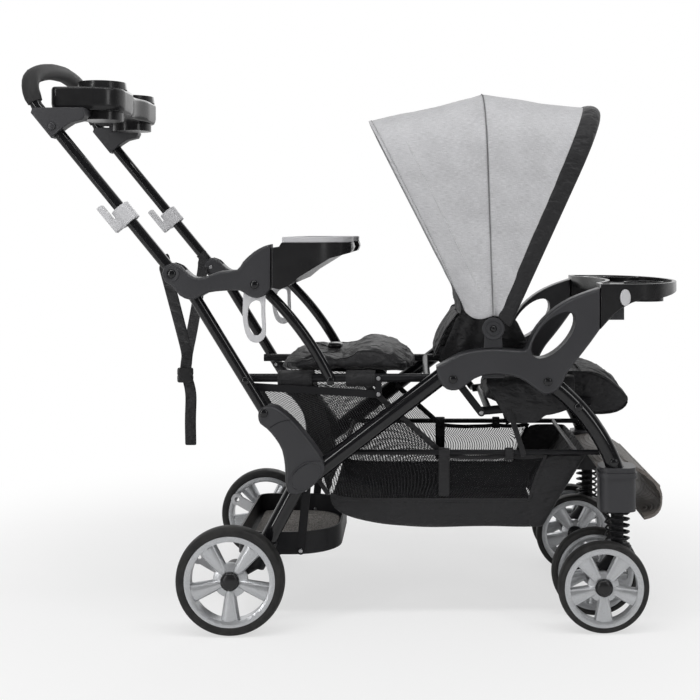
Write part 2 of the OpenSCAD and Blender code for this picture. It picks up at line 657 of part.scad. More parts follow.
module seat_frame() {
  rail_x0 = rail_bolt[0] - rail_d;
  rail_x1 = arch_x - rail_d;
  color("#1b1c1e") {
    difference() {
      union() {
        for (s = [-1, 1]) rod([rail_x0, s*rail_y, rail_z], [rail_x1, s*rail_y, rail_z], rail_d);
        for (x = [rail_x0 + 7*rail_d, rail_x1 - 2*rail_d])
          rod([x, -rail_y, rail_z], [x, rail_y, rail_z], 0.86*rail_d);
      }
      for (s = [-1, 1]) sided(s) holes([3, 4, 17]);
    }
    difference() {
      union() {
        for (s = [-1, 1]) sided(s) rod(at(front_rail_rear, front_rail_y), at(front_rail_bolt + [2*rail_d, 0.18*rail_d], front_rail_y), rail_d);
        pin(front_rail_rear + [rail_d, 0], -front_rail_y, front_rail_y, 0.86*rail_d);
        pin(front_rail_bolt + [0.6*rail_d, 0], -front_rail_y, front_rail_y, 0.86*rail_d);
      }
      for (s = [-1, 1]) sided(s) holes([7, 14]);
    }
    difference() {
      union() {
        for (s = [-1, 1]) sided(s) rod(at(basket_rear, basket_y), at(basket_front, basket_y), basket_d);
        pin(basket_front - [6*basket_d, 0], -basket_y, basket_y, 0.86*basket_d);
        pin(basket_bar, -basket_y, basket_y, 0.86*basket_d);
      }
      for (s = [-1, 1]) sided(s) holes([15, 16]);
    }
  }
}

basket_l = basket_front[0] - 6*basket_d - basket_rear[0];
bag_top = basket_rail_z - 0.5*basket_d - gap;
bag_half = basket_y - 0.5*basket_d - thin - cloth_t;
bag_front = [basket_front[0] - 3.5*basket_d, bag_top];
bag_rear = [rail_bolt[0] + 6*rail_d, rail_z - 0.5*rail_d - gap];
bag_h = bag_top - basket_z;
bag_path = concat([bag_rear], [for (p = [[-0.06, 0.55], [-0.02, 0.22], [0.1, 0.07], [0.22, 0], [0.845, 0]])
  [basket_rear[0] + p[0]*basket_l, basket_z + p[1]*bag_h]], [bag_front]);
bag_side = concat([[rail_bolt[0] + 1.2*rail_d, bag_rear[1] - 0.3*rail_d], basket_rear - [0.125*basket_l, 0.22*bag_h]],
  [for (i = [1:len(bag_path)-1]) bag_path[i]], [[basket_rear[0] + 0.435*basket_l, bag_top], bag_rear + [8*rail_d, 0]]);
module basket() {
  color("#202022") difference() {
    union() {
      slab(strip(bag_path, cloth_t), -bag_half, bag_half);
      for (s = [-1, 1]) sided(s) slab(bag_side, bag_half, bag_half + cloth_t);
    }
    pin(basket_bar, -basket_y, basket_y, 0.86*basket_d + 2*fit);
  }
}

rear_pad_x = rail_bolt[0] + 3.2*rail_d;
rear_pad_z = rail_z + 0.46*rail_d;
rear_pad_l = 17*rail_d;
rear_pad_shares = [[0, 0.2], [0.05, 0], [0.6, 0], [0.95, 0], [1, 0.2], [0.94, 0.75], [0.82, 1.5], [0.68, 1.78], [0.56, 1.45],
  [0.46, 1.02], [0.3, 1.06], [0.14, 1], [0.03, 0.72]];
module rear_seat_pad() {
  color("#232326") loft(pillow_rings(ring_spline([for (s = rear_pad_shares)
    [rear_pad_x + s[0]*rear_pad_l, rear_pad_z + s[1]*rear_pad_h]], 2), pad_half + mould_w/2, 0.35, 14));
}

front_pad_shares = [[-0.6, -0.018], [-0.25, 0.018], [0.1, 0.065], [0.155, -0.035], [0.21, -0.06], [0.32, -0.045], [0.385, 0.02],
  [0.385, 0.095], [0.32, 0.175], [0.21, 0.225], [0.09, 0.235], [-0.06, 0.205], [-0.3, 0.15], [-0.52, 0.125], [-0.61, 0.08]];
module front_seat_pad() {
  color("#232326") loft(pillow_rings(ring_spline(pt_at(front_rail_bolt - [0, 0.106*rail_d], seat_l, front_pad_shares), 2),
    front_rail_y - 0.5*rail_d - 2*fit, 0.2, 14));
}

module seat_back() {
  half = 0.95*pad_half;
  p = concat([for (s = [[-0.045, 0.3], [0.1, 0.42], [0.35, 0.5], [0.6, 0.47], [0.85, 0.44], [0.97, 0.3]])
    back_p + s[0]*back_l*back_dir + s[1]*back_t*back_n], [for (s = [[1.0, 0], [0.97, -0.35], [0.8, -0.5], [0.4, -0.5],
    [0.05, -0.5], [-0.045, -0.3]]) back_p + s[0]*back_l*back_dir + s[1]*back_t*back_n]);
  color("#232326") {
    loft(pillow_rings(ring_spline(p, 2), half, 0.28, 14));
    pin(back_p, -mould_in - 3*wall, mould_in + 3*wall, back_rod_d);
  }
}
module rear_backrest() {
  low = [rear_pad_x + 1.0*rear_pad_l, rear_pad_z + 0.75*rear_pad_h];
  high = back_p + 0.3*back_l*back_dir - 0.683*back_t*back_n;
  d = unit(high - low);
  n = [d[1], -d[0]];
  l = norm(high - low);
  p = [for (s = [[0, -0.3], [0, 0.3], [0.15, 0.42], [0.5, 0.45], [0.85, 0.42], [1, 0.3], [1, -0.3], [0.8, -0.42],
    [0.4, -0.36], [0.1, -0.42]]) low + s[0]*l*d + s[1]*0.75*back_t*n];
  color("#232326") loft(pillow_rings(ring_spline(p, 2), 0.93*pad_half, 0.3, 12));
}

bow_half = [frame_half - 3, frame_half - 10, frame_half - 17];
bow_eye = 5;
module bow(i) {
  a = bow_angles[i];
  h = bow_half[i];
  r = bow_reach[i];
  translate(at(canopy_p, 0)) rotate([0, 90 - a, 0]) difference() {
    union() {
      for (s = [-1, 1]) {
        translate([0, s*h, 0]) cylinder(h = r - bow_corner, d = bow_d);
        translate([0, s*(h - bow_corner), r - bow_corner]) rotate([90, 0, 90]) rotate([0, 0, s > 0 ? 0 : 90])
          rotate_extrude(angle = 90) translate([bow_corner, 0]) circle(d = bow_d);
        pin([0, 0], s*h - bow_eye/2, s*h + bow_eye/2, 4*bow_d);
      }
      translate([0, -(h - bow_corner), r]) rotate([-90, 0, 0]) cylinder(h = 2*(h - bow_corner), d = bow_d);
    }
    pin([0, 0], -frame_half, frame_half, bolt_d + 2*run_fit);
  }
}
module canopy_rear_bow() {
  color("#1b1c1e") bow(0);
}
module canopy_mid_bow() {
  color("#1b1c1e") bow(1);
}
module canopy_front_bow() {
  color("#1b1c1e") bow(2);
}
mount_y = frame_half + bow_eye/2;
module canopy_mounts() {
  color("#1d1e20") for (s = [-1, 1]) sided(s) {
    difference() {
      union() {
        pin(canopy_p, mount_y, mount_y + 2*wall, 5.6*bow_d);
        slab(concat(arc_pts(canopy_p, 2.2*bow_d, 0, 180, 8), [[canopy_x - 3*bow_d, arch_z], [canopy_x + 3*bow_d, arch_z]]),
          mount_y, mount_y + 2*wall);
      }
      slab(arch_outline, mount_y - thin, mount_y + 3*wall);
    }
    pin(canopy_p, bow_half[2] - bow_eye, mount_y, bolt_d);
  }
}
// a bow line at reach r out from the pivot, m points from right to left, as offset and reach
function bow_line(i, out, m) = let(h = bow_half[0] + out, r = bow_reach[i] + out, c = bow_corner + out, r0 = 3.4*bow_d)
  concat([for (k = [0:3]) [-h, r0 + (r - c - r0)*k/3]], [for (k = [1:m]) [-h + c, r - c] + c*[-cos(90*k/m), sin(90*k/m)]],
  [[0, r + 0.03*c]], [for (k = [m:-1:1]) [h - c, r - c] + c*[cos(90*k/m), sin(90*k/m)]], [for (k = [3:-1:0]) [h, r0 + (r - c - r0)*k/3]]);
function on_bow(a, q) = [canopy_p[0] + q[1]*cos(a), q[0], canopy_p[1] + q[1]*sin(a)];
function panel_line(i, t, out, a0, a1) = let(p = bow_line(i, out, 6), q = bow_line(i+1, out, 6))
  [for (k = [0:len(p)-1]) (1-t)*on_bow(a0, p[k]) + t*on_bow(a1, q[k])];
// a thin closed sheet between two grids of points
module sheet(outer, inner) {
  n = len(outer[0]);
  k = len(outer);
  m = n*k;
  grid = [for (i = [0:k-2], j = [0:n-2], h = [0, 1]) let(a = i*n + j, b = a + 1, c = a + n + 1, d = a + n)
    h == 0 ? [a, b, c] : [a, c, d]];
  under = [for (f = grid) [f[2] + m, f[1] + m, f[0] + m]];
  rim = concat([for (j = [0:n-2]) j], [for (i = [0:k-2]) i*n + n - 1], [for (j = [n-1:-1:1]) (k-1)*n + j],
    [for (i = [k-1:-1:1]) i*n]);
  edge = [for (i = [0:len(rim)-1], h = [0, 1]) let(a = rim[i], b = rim[(i+1)%len(rim)])
    h == 0 ? [b, a, a + m] : [b, a + m, b + m]];
  polyhedron(points = concat([for (g = outer, q = g) q], [for (g = inner, q = g) q]), faces = concat(grid, under, edge), convexity = 8);
}
module panel(i, a0, a1, steps) {
  o = 1.16*bow_d;
  sheet([for (k = [0:steps]) panel_line(i, k/steps, o + canopy_t, a0, a1)],
    [for (k = [0:steps]) panel_line(i, k/steps, o, a0, a1)]);
}
module canopy_rear_panel() {
  color("#b9b9bb") panel(0, bow_angles[0] + 0.9, bow_angles[1] + 0.1, 5);
}
module canopy_front_panel() {
  color("#b9b9bb") panel(1, bow_angles[1] - 0.1, bow_angles[2] - 1.6, 5);
}

rear_tray_shares = [[0, -0.03], [0.1, -0.015], [0.13, 0.04], [1, 0.04], [1.02, -0.03], [0.98, -0.11], [0.74, -0.18],
  [0.58, -0.29], [0.36, -0.44], [0.22, -0.57], [0.1, -0.62], [0, -0.59]];
rear_tray_outline = rev([for (s = rear_tray_shares) tray_pt(s)]);
function rear_plan(x0, x1, in) = d_plan(rear_tray_x + gap + x0*rear_tray_l, rear_tray_x + gap + x1*rear_tray_l, mould_out - in,
  wall, 0.42*mould_out - in);
rear_dish_shares = [[0.17, 0.3], [0.95, 0.3], [0.93, -0.06], [0.73, -0.135], [0.57, -0.245], [0.35, -0.395], [0.25, -0.51], [0.17, -0.53]];
function tray_pt(s) = [rear_tray_x + gap + s[0]*rear_tray_l, rear_tray_top - rim_h + s[1]*0.9*rear_tray_l];
// the front edge dips between two lobes
dip_r = 0.85*rear_tray_l;
module rear_flat(plan, in) {
  difference() {
    polygon(plan);
    translate([rear_tray_x + gap + 1.02*rear_tray_l + 0.66*dip_r, 0]) circle(r = dip_r + in);
  }
}
module rear_column(plan, in) {
  translate([0, 0, hub_z - arm_len]) linear_extrude(height = 2*arm_len) rear_flat(plan, in);
}
module rear_tray() {
  color("#2b2c2f") difference() {
    intersection() {
      slab(rear_tray_outline, -mould_out, mould_out);
      rear_column(rear_plan(0, 1.02, 0), 0);
    }
    intersection() {
      slab([for (s = rev(rear_dish_shares)) tray_pt(s)], -mould_out, mould_out);
      rear_column(rear_plan(0.1, 0.96, 3.4*wall), 3.4*wall);
    }
  }
}
module rear_tray_rim() {
  z = rear_tray_top - rim_h + 0.036*rear_tray_l;
  color("#d4d4d6") translate([0, 0, z]) linear_extrude(height = rim_h) difference() {
    rear_flat(rear_plan(0.135, 1, wall), wall);
    rear_flat(rear_plan(0.18, 0.955, 3.4*wall), 3.4*wall);
  }
}

module frame_bolts() {
  color("#8b8c8e") for (s = [-1, 1]) sided(s) {
    bolts_side(0);
    for (i = [0:headed-1]) turned(bolt_rows[i][0], bolt_rows[i][2]) polygon(dome(head_d/2, head_h));
  }
}

strap_x = hub_x - 0.1*arm_len - web_t/2 - 2*fit;
strap_join = hub_z - 0.86*arm_len;
strap_end = hub_z - 1.95*arm_len;
strap_buckle = hub_z - 1.17*arm_len;
module web(y0, z0, y1, z1) {
  d = unit([y1 - y0, z1 - z0]);
  n = [d[1], -d[0]]*web_w/2;
  translate([strap_x - web_t/2, 0, 0]) rotate([90, 0, 90]) linear_extrude(height = web_t)
    polygon([[y0, z0] + n, [y1, z1] + n, [y1, z1] - n, [y0, z0] - n]);
}
module tether_strap() {
  color("#1c1c1e") {
    for (s = [-1, 1]) sided(s) web(mould_out - wall, hub_z - 0.3*hub_r, 0, strap_join);
    web(0, strap_join + web_w, 0, strap_buckle + 0.6*web_w);
    web(0, strap_buckle - 0.6*web_w, 0, strap_end);
  }
}
module tether_buckle() {
  color("#17171a") translate([strap_x, 0, strap_buckle]) difference() {
    cube([3.6*web_t, 1.4*web_w, 1.3*web_w], center = true);
    translate([0, 0, 0.62*web_w]) cube([web_t + 2*fit, web_w + 2*fit, 0.3*web_w], center = true);
    translate([0, 0, -0.62*web_w]) cube([web_t + 2*fit, web_w + 2*fit, 0.3*web_w], center = true);
  }
}

// handle path from the right hub up, across and down
grip_foot = hub_p + handle_len*handle_dir;
grip_shares = [[0, 0, 0], [-0.14, -0.012, 0.33], [-0.2, -0.1, 0.62], [-0.19, -0.3, 0.8], [-0.17, -0.62, 0.94], [-0.16, -1, 1]];
grip_half_path = [for (s = grip_shares) [grip_foot[0] + s[0]*grip_rise, -frame_half*(1 + s[1]), grip_foot[1] + s[2]*grip_rise]];
grip_curve = spline(grip_half_path, 3);
grip_path = concat(grip_curve, [for (i = [len(grip_curve)-2:-1:0]) [grip_curve[i][0], -grip_curve[i][1], grip_curve[i][2]]]);
tube_low = hub_p + 0.5*hub_r*handle_dir;
module handle_tube() {
  path = concat([at(tube_low, -frame_half), at(grip_foot - 0.2*grip_rise*handle_dir, -frame_half)], grip_path,
    [at(grip_foot - 0.2*grip_rise*handle_dir, frame_half), at(tube_low, frame_half)]);
  color("#17181a") difference() {
    union() {
      loft(sweep_rings(path, [1, 0, 0], side_d/2, 14));
      for (s = [-1, 1]) sided(s) pin(hub_p, frame_half - eye_half, frame_half + eye_half, 2*hub_r);
    }
    pin(hub_p, -mould_out, mould_out, bolt_d + 2*run_fit);
    for (s = [-1, 1]) sided(s) pin(bracket_p, frame_half - side_d, mould_out, bolt_d + 2*fit);
  }
}
module handle_grip() {
  p = [for (i = [1:len(grip_path)-2]) grip_path[i]];
  r0 = side_d/2 + fit;
  outer = [for (i = [0:len(p)-1]) let(e = min(i, len(p)-1-i), r = e == 0 ? r0 + (foam_d/2 - r0)*0.6 : foam_d/2)
    tube_ring(p[i], tangent(grip_path, i+1), [1, 0, 0], r, 14)];
  inner = [for (i = [len(p)-1:-1:0]) tube_ring(p[i], tangent(grip_path, i+1), [1, 0, 0], r0, 14)];
  color("#1d1d1f") loft(concat(outer, inner), closed = true);
}

// parent tray on two wings
wing_z = bracket_p[1] + 1.6*side_d;
parent_x0 = bracket_p[0] - 0.13*parent_l;
parent_x1 = parent_x0 + parent_l;
parent_z = wing_z + gap;
parent_cup_y = 0.66*parent_half;
parent_cup_x = parent_x1 - 0.65*parent_cup_d;
parent_rise = 0.32*parent_h;
parent_lip = 0.2*parent_h;
parent_plan = d_plan(parent_x0, parent_x1, parent_half, 0.4*tray_corner, 1.7*tray_corner);
module handle_brackets() {
  wing = [for (s = [[-0.02, -0.37], [0.36, -0.05], [0.62, 0.12], [0.98, 0.21], [1.06, 0.36], [1.0, 0.6], [-0.62, 0.6],
    [-0.67, 0.43]]) bracket_p + s*2.66*side_d];
  shelf = [for (s = [[0.1, 0.42], [0.95, 0.42], [0.95, 0.6], [0.1, 0.6]]) bracket_p + s*2.66*side_d];
  color("#3a3b3e") for (s = [-1, 1]) sided(s) {
    difference() {
      union() {
        moulded(wing, frame_half - 0.75*side_d, frame_half + 0.75*side_d, wall);
        slab(shelf, frame_half - 2.2*side_d, frame_half - 0.6*side_d);
      }
      rod(at(hub_p, frame_half), at(grip_foot, frame_half), side_d + 2*fit);
      pin(bracket_p, frame_half - 0.5*side_d, mould_out, bolt_d + 2*fit);
    }
    pin(bracket_p, frame_half - 0.4*side_d, frame_half + 0.75*side_d, bolt_d);
    turned(bracket_p, frame_half + 0.75*side_d) polygon(dome(head_d/2, head_h));
  }
}
module parent_tray() {
  color("#2b2c2f") difference() {
    union() {
      translate([0, 0, parent_z]) linear_extrude(height = parent_h) polygon(parent_plan);
      for (s = [-1, 1]) translate([parent_cup_x, s*parent_cup_y, 0]) {
        translate([0, 0, parent_z - parent_cup_drop]) cylinder(h = parent_h + parent_cup_drop, d = parent_cup_d + 2*wall);
        translate([0, 0, parent_z + parent_h - thin]) cylinder(h = parent_rise + thin, d1 = 1.28*parent_cup_d, d2 = 1.22*parent_cup_d);
      }
    }
    for (s = [-1, 1]) translate([parent_cup_x, s*parent_cup_y, 0]) {
      translate([0, 0, parent_z - parent_cup_drop + wall]) cylinder(h = 3*parent_h, d = parent_cup_d);
      translate([0, 0, parent_z + parent_h + parent_rise - parent_lip]) cylinder(h = 2*parent_lip, d1 = parent_cup_d, d2 = 1.3*parent_cup_d);
    }
    translate([0, 0, parent_z + wall]) linear_extrude(height = parent_h)
      polygon(round_rect(parent_x0 + 2*wall, parent_x1 - 2*wall, -parent_cup_y + 0.6*parent_cup_d, parent_cup_y - 0.6*parent_cup_d, 2*wall));
  }
}

module trigger_side() {
  translate(at(hub_p, frame_half)) rotate([0, 90 - handle_slope, 0]) {
    difference() {
      union() {
        translate([0, 0, trigger_at - trigger_l/2]) cylinder(h = trigger_l, d = trigger_d);
        translate([-0.92*trigger_d, -0.3*trigger_d, trigger_at - 0.45*trigger_l]) cube([0.3*trigger_d, 0.6*trigger_d, hook_l]);
        translate([-0.92*trigger_d, -0.3*trigger_d, trigger_at - 0.45*trigger_l]) cube([0.6*trigger_d, 0.6*trigger_d, 0.6*trigger_l]);
      }
      translate([0, 0, trigger_at - trigger_l]) cylinder(h = 2*trigger_l, d = side_d + 2*run_fit);
    }
  }
}
module trigger_right() {
  color("#d0d0d2") sided(-1) trigger_side();
}
module trigger_left() {
  color("#d0d0d2") sided(1) trigger_side();
}

// front tray
tray_x = seam_x + gap;
tray_l = tray_front - tray_x;
sleeve_z = arch_z + 0.528*arch_span;
tray_under = tray_top - 0.13*tray_l;
tray_side_shares = [[0, 0.962], [0.16, 0.985], [0.38, 0.995], [0.7, 0.985], [0.86, 0.95], [0.84, 0.88], [0.68, 0.835], [0.52, 0.8],
  [0.38, 0.752], [0.25, 0.69], [0.12, 0.61], [0, 0.528]];
tray_body_shares = [[0, 1], [1, 1], [1, 0.55], [0.93, 0.2], [0.8, 0.02], [0.55, -0.3], [0.2, -0.2], [0, 0]];
tray_body = rev([for (s = tray_body_shares) [tray_x + s[0]*tray_l, tray_under + s[1]*(tray_top - tray_under)]]);
tray_side = rev([for (s = tray_side_shares) [tray_x + s[0]*tray_l*0.6, arch_z + s[1]*arch_span]]);
tray_plan = concat([for (a = [-90:9:90]) [tray_x + 0.3*tray_l + 0.7*tray_l*pow(abs(cos(a)), 0.9), mould_out*sin(a)]],
  [[tray_x, mould_out], [tray_x, mould_in - wall]], [for (a = [60:-15:-60]) [tray_x + 0.24*tray_l*cos(1.5*a), mould_in*a/66]],
  [[tray_x, -mould_in + wall], [tray_x, -mould_out]]);
tray_cup_x = tray_x + 0.55*tray_l;
tray_cup_y = 0.6*frame_half;
tray_cup_z = tray_under - 1.5*tray_dish;
module front_tray() {
  color("#2b2c2f") difference() {
    union() {
      difference() {
        intersection() {
          translate([0, 0, arch_z]) linear_extrude(height = tray_top - arch_z) polygon(tray_plan);
          slab(tray_body, -mould_out, mould_out);
        }
        translate([0, 0, tray_top - tray_dish]) linear_extrude(height = 2*tray_dish)
          polygon(inset(tray_plan, 2.6*wall));
      }
      intersection() {
        union() for (s = [-1, 1]) sided(s) moulded(tray_side, mould_in, mould_out, wall);
        translate([0, 0, arch_z]) linear_extrude(height = 2*arch_span) polygon(tray_plan);
      }
      for (s = [-1, 1]) translate([tray_cup_x, s*tray_cup_y, tray_cup_z])
        cylinder(h = tray_top - tray_cup_z, d = tray_cup_d + 2*wall);
    }
    for (s = [-1, 1]) translate([tray_cup_x, s*tray_cup_y, tray_cup_z + wall])
      cylinder(h = 2*arch_span, d = tray_cup_d);
    for (s = [-1, 1]) sided(s) {
      tongue(gap, thin);
      button_slot();
    }
  }
}
button_c = [tray_x + 0.25*tray_l, arch_z + 0.86*arch_span];
button_travel = 3.5;
button_out = 2.5;
button_depth = 7;
module button_slot() {
  slab(oval(button_c, button_w/2 + run_fit, button_h/2 + run_fit, 0, 40), mould_out - button_depth - button_travel, mould_out + thin);
}
module button_side() {
  slab(oval(button_c, button_w/2 - gap, button_h/2 - gap, 0, 40), mould_out - button_depth, mould_out + button_out);
}
module tray_button_right() {
  color("#d0d0d2") sided(-1) button_side();
}
module tray_button_left() {
  color("#d0d0d2") sided(1) button_side();
}

// hanging loops
loop_shares = [[-0.1, 0.05], [0.02, 0.1], [0.13, 0.04], [0.12, -0.1], [0.13, -0.25], [0.155, -0.42], [0.16, -0.53], [0.1, -0.585],
  [0.02, -0.57], [-0.04, -0.49], [-0.085, -0.34], [-0.1, -0.2], [-0.105, -0.06]];
loop_hole_shares = [[-0.03, -0.2], [0.03, -0.16], [0.08, -0.19], [0.1, -0.32], [0.122, -0.46], [0.08, -0.515], [0.02, -0.49],
  [-0.025, -0.4], [-0.04, -0.3]];
// leaned so that it hangs with its weight under the pivot
function hung(shares) = rev(ring_spline([for (s = shares) pivot_p + arm_len*[s[0] + 0.11*s[1], s[1]]], 3));
module loop_side() {
  difference() {
    slab(hung(loop_shares), loop_y0, loop_y0 + loop_t);
    slab(hung(loop_hole_shares), loop_y0 - thin, loop_y0 + loop_t + thin);
    pin(pivot_p, mould_in, mould_out, bolt_d + 2*run_fit);
  }
}
module loop_right() {
  color("#cfcfd1") sided(-1) loop_side();
}
module loop_left() {
  color("#cfcfd1") sided(1) loop_side();
}

// brake levers
brake_y = frame_half + 0.55*main_d + gap;
brake_reach = 0.72*rear_wheel_d/2;
module brake_side() {
  tip = axle_p + brake_reach*[cos(150), sin(150)];
  difference() {
    union() {
      slab(stadium(axle_p, tip, 1.7*axle_d), brake_y, brake_y + brake_t);
      pin(axle_p, brake_y, brake_y + brake_t, 3.2*axle_d);
      pin(tip, brake_y - gap/2, brake_y + 1.2*brake_t, 2.1*axle_d);
    }
    pin(axle_p, 0, rear_half, axle_d + 2*run_fit);
    pin(tip, 0, rear_half, 0.9*axle_d);
  }
}
module brake_right() {
  color("#b9babc") sided(-1) brake_side();
}
module brake_left() {
  color("#b9babc") sided(1) brake_side();
}

// wheels
module rim(p, y, d, w, h) {
  r = d/2 - h;
  difference() {
    union() {
      turned(p, y) polygon(ring_pts(r, w));
      pin(p, y - 0.31*w, y + 0.31*w, 0.9*cap_d);
      for (i = [0:spokes-1]) translate(at(p, y)) rotate([0, 90 - 360*i/spokes, 0]) intersection() {
        rotate([0, 90, 0]) cylinder(h = r - 0.6*rim_ring, d1 = spoke_in, d2 = spoke_out);
        translate([0, -0.26*w, -spoke_out]) cube([r, 0.52*w, 2*spoke_out]);
      }
    }
    pin(p, y - w, y + w, axle_d + 2*run_fit);
  }
}
module tyre(p, y, d, w, h) {
  turned(p, y) polygon(tyre_pts(d/2, w, h));
}
module rear_rim_right() {
  color("#aeb0b3") sided(-1) rim(axle_p, rear_half, rear_wheel_d, rear_tyre_w, rear_tyre_h);
}
module rear_rim_left() {
  color("#aeb0b3") sided(1) rim(axle_p, rear_half, rear_wheel_d, rear_tyre_w, rear_tyre_h);
}
module rear_tyre_right() {
  color("#2a2a2c") sided(-1) tyre(axle_p, rear_half, rear_wheel_d, rear_tyre_w, rear_tyre_h);
}
module rear_tyre_left() {
  color("#2a2a2c") sided(1) tyre(axle_p, rear_half, rear_wheel_d, rear_tyre_w, rear_tyre_h);
}
module front_rims_right() {
  color("#aeb0b3") sided(-1) for (t = [-1, 1]) rim(front_axle_p, caster_half + t*twin_half, front_wheel_d, front_tyre_w, front_tyre_h);
}
module front_rims_left() {
  color("#aeb0b3") sided(1) for (t = [-1, 1]) rim(front_axle_p, caster_half + t*twin_half, front_wheel_d, front_tyre_w, front_tyre_h);
}
module front_tyres_right() {
  color("#2a2a2c") sided(-1) for (t = [-1, 1]) tyre(front_axle_p, caster_half + t*twin_half, front_wheel_d, front_tyre_w, front_tyre_h);
}
module front_tyres_left() {
  color("#2a2a2c") sided(1) for (t = [-1, 1]) tyre(front_axle_p, caster_half + t*twin_half, front_wheel_d, front_tyre_w, front_tyre_h);
}

// casters
fork_top = seat_z - 2*wall - gap;
neck_d = 0.6*post_d;
module fork_side() {
  top = [caster_x, fork_top - 0.7*post_d];
  difference() {
    union() {
      translate([caster_x, caster_half, fork_top - 1.5*post_d]) cylinder(h = 1.5*post_d, d = 1.7*post_d);
      pin(front_axle_p, caster_half - fork_half, caster_half + fork_half, 1.3*cap_d);
      rod(at(front_axle_p, caster_half), at(top, caster_half), 1.5*post_d);
    }
    translate([caster_x, caster_half, fork_top - 1.4*post_d]) cylinder(h = 2*post_d, d = neck_d + 2*run_fit);
    pin(front_axle_p, caster_half - 2*twin_half, caster_half + 2*twin_half, axle_d + 2*fit);
  }
  pin(front_axle_p, caster_half - front_cap, caster_half + front_cap, axle_d);
  translate([0, caster_half, 0]) for (t = [-1, 1]) sided(t) turned(front_axle_p, front_cap) polygon(dome(cap_d/2, cap_h));
}
module fork_right() {
  color("#1d1e20") sided(-1) fork_side();
}
module fork_left() {
  color("#1d1e20") sided(1) fork_side();
}
module strut_post_side() {
  translate([caster_x, caster_half, fork_top - 1.3*post_d]) cylinder(h = seat_z - fork_top + 1.3*post_d, d = neck_d);
  translate([caster_x, caster_half, seat_z - 2*wall]) cylinder(h = 2*wall, d = spring_d + 2*thin);
  translate([caster_x, caster_half, seat_z]) cylinder(h = post_top - seat_z, d = post_d);
}
module strut_right() {
  color("#1d1e20") sided(-1) strut_post_side();
}
module strut_left() {
  color("#1d1e20") sided(1) strut_post_side();
}
// one unbroken wire, its two end turns closed on the seats
coil_r = (spring_d - wire_d)/2;
coil_h = socket_z - seat_z - wire_d - 2*gap;
coil_n = 8*turns;
function coil_z(t) = let(e = 0.75/turns, s = t < e ? 0.12*t/e : t > 1-e ? 1 - 0.12*(1-t)/e : 0.12 + 0.76*(t-e)/(1-2*e)) s;
coil_path = [for (i = [0:coil_n]) let(t = i/coil_n) [coil_r*cos(360*turns*t), coil_r*sin(360*turns*t), coil_h*coil_z(t)]];
coil_gap = min([for (i = [0:coil_n-8]) norm(coil_path[i+8] - coil_path[i])]) - wire_d;
echo(least_gap_between_turns = coil_gap);
module spring_side() {
  translate([caster_x, caster_half, seat_z + wire_d/2 + gap]) loft(sweep_rings(coil_path, [0, 0, 1], wire_d/2, 6));
}
module spring_right() {
  color("#202123") sided(-1) spring_side();
}
module spring_left() {
  color("#202123") sided(1) spring_side();
}

main_tubes();
front_legs();
side_arch_right();
side_arch_left();
rear_knuckles();
leg_sockets();
footrest();
rear_axle();
axle_brackets();
standing_platform();
platform_grip();
link_bars();
seat_frame();
basket();
rear_seat_pad();
front_seat_pad();
rear_backrest();
canopy_mounts();
uprights();
arms();
rear_tray();
rear_tray_rim();
armrest_struts();
frame_bolts();
tether_strap();
tether_buckle();
handle_tube();
handle_grip();
parent_tray();
handle_brackets();
trigger_right();
trigger_left();
front_tray();
tray_button_right();
tray_button_left();
canopy_rear_bow();
canopy_mid_bow();
canopy_front_bow();
canopy_rear_panel();
canopy_front_panel();
seat_back();
loop_right();
loop_left();
brake_right();
brake_left();
fork_right();
fork_left();
strut_right();
strut_left();
spring_right();
spring_left();
rear_rim_right();
rear_tyre_right();
rear_rim_left();
rear_tyre_left();
front_rims_right();
front_tyres_right();
front_rims_left();
front_tyres_left();
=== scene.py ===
import json
import math

import bmesh
import bpy
import numpy as np
from mathutils import Matrix, Vector, bvhtree, noise


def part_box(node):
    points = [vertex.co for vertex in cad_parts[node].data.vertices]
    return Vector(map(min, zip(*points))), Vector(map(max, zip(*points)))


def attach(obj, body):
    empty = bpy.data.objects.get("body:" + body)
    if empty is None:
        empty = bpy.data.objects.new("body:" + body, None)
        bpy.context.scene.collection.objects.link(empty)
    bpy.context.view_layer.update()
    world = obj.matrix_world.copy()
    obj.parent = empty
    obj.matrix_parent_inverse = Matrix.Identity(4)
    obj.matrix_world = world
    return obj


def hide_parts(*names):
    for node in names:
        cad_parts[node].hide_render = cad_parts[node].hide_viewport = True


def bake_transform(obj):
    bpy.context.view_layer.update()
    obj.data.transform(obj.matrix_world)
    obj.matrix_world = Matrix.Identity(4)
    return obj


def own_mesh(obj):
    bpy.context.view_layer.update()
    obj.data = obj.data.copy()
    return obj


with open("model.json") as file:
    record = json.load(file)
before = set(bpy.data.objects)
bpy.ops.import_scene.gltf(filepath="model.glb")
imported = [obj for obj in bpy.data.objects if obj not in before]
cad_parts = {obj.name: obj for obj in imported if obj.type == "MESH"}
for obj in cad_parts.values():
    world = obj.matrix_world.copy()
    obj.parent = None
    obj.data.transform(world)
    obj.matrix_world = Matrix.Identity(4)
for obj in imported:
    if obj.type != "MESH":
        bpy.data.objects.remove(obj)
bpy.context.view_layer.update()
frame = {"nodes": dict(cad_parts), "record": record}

# Studio: a pale floor that runs out to plain white, a broad soft box overhead, a tall one at the front left
# and weaker ones at the right and behind. The camera stands level at handle height on the near side.
scene = bpy.context.scene
scene.view_settings.view_transform = "Standard"


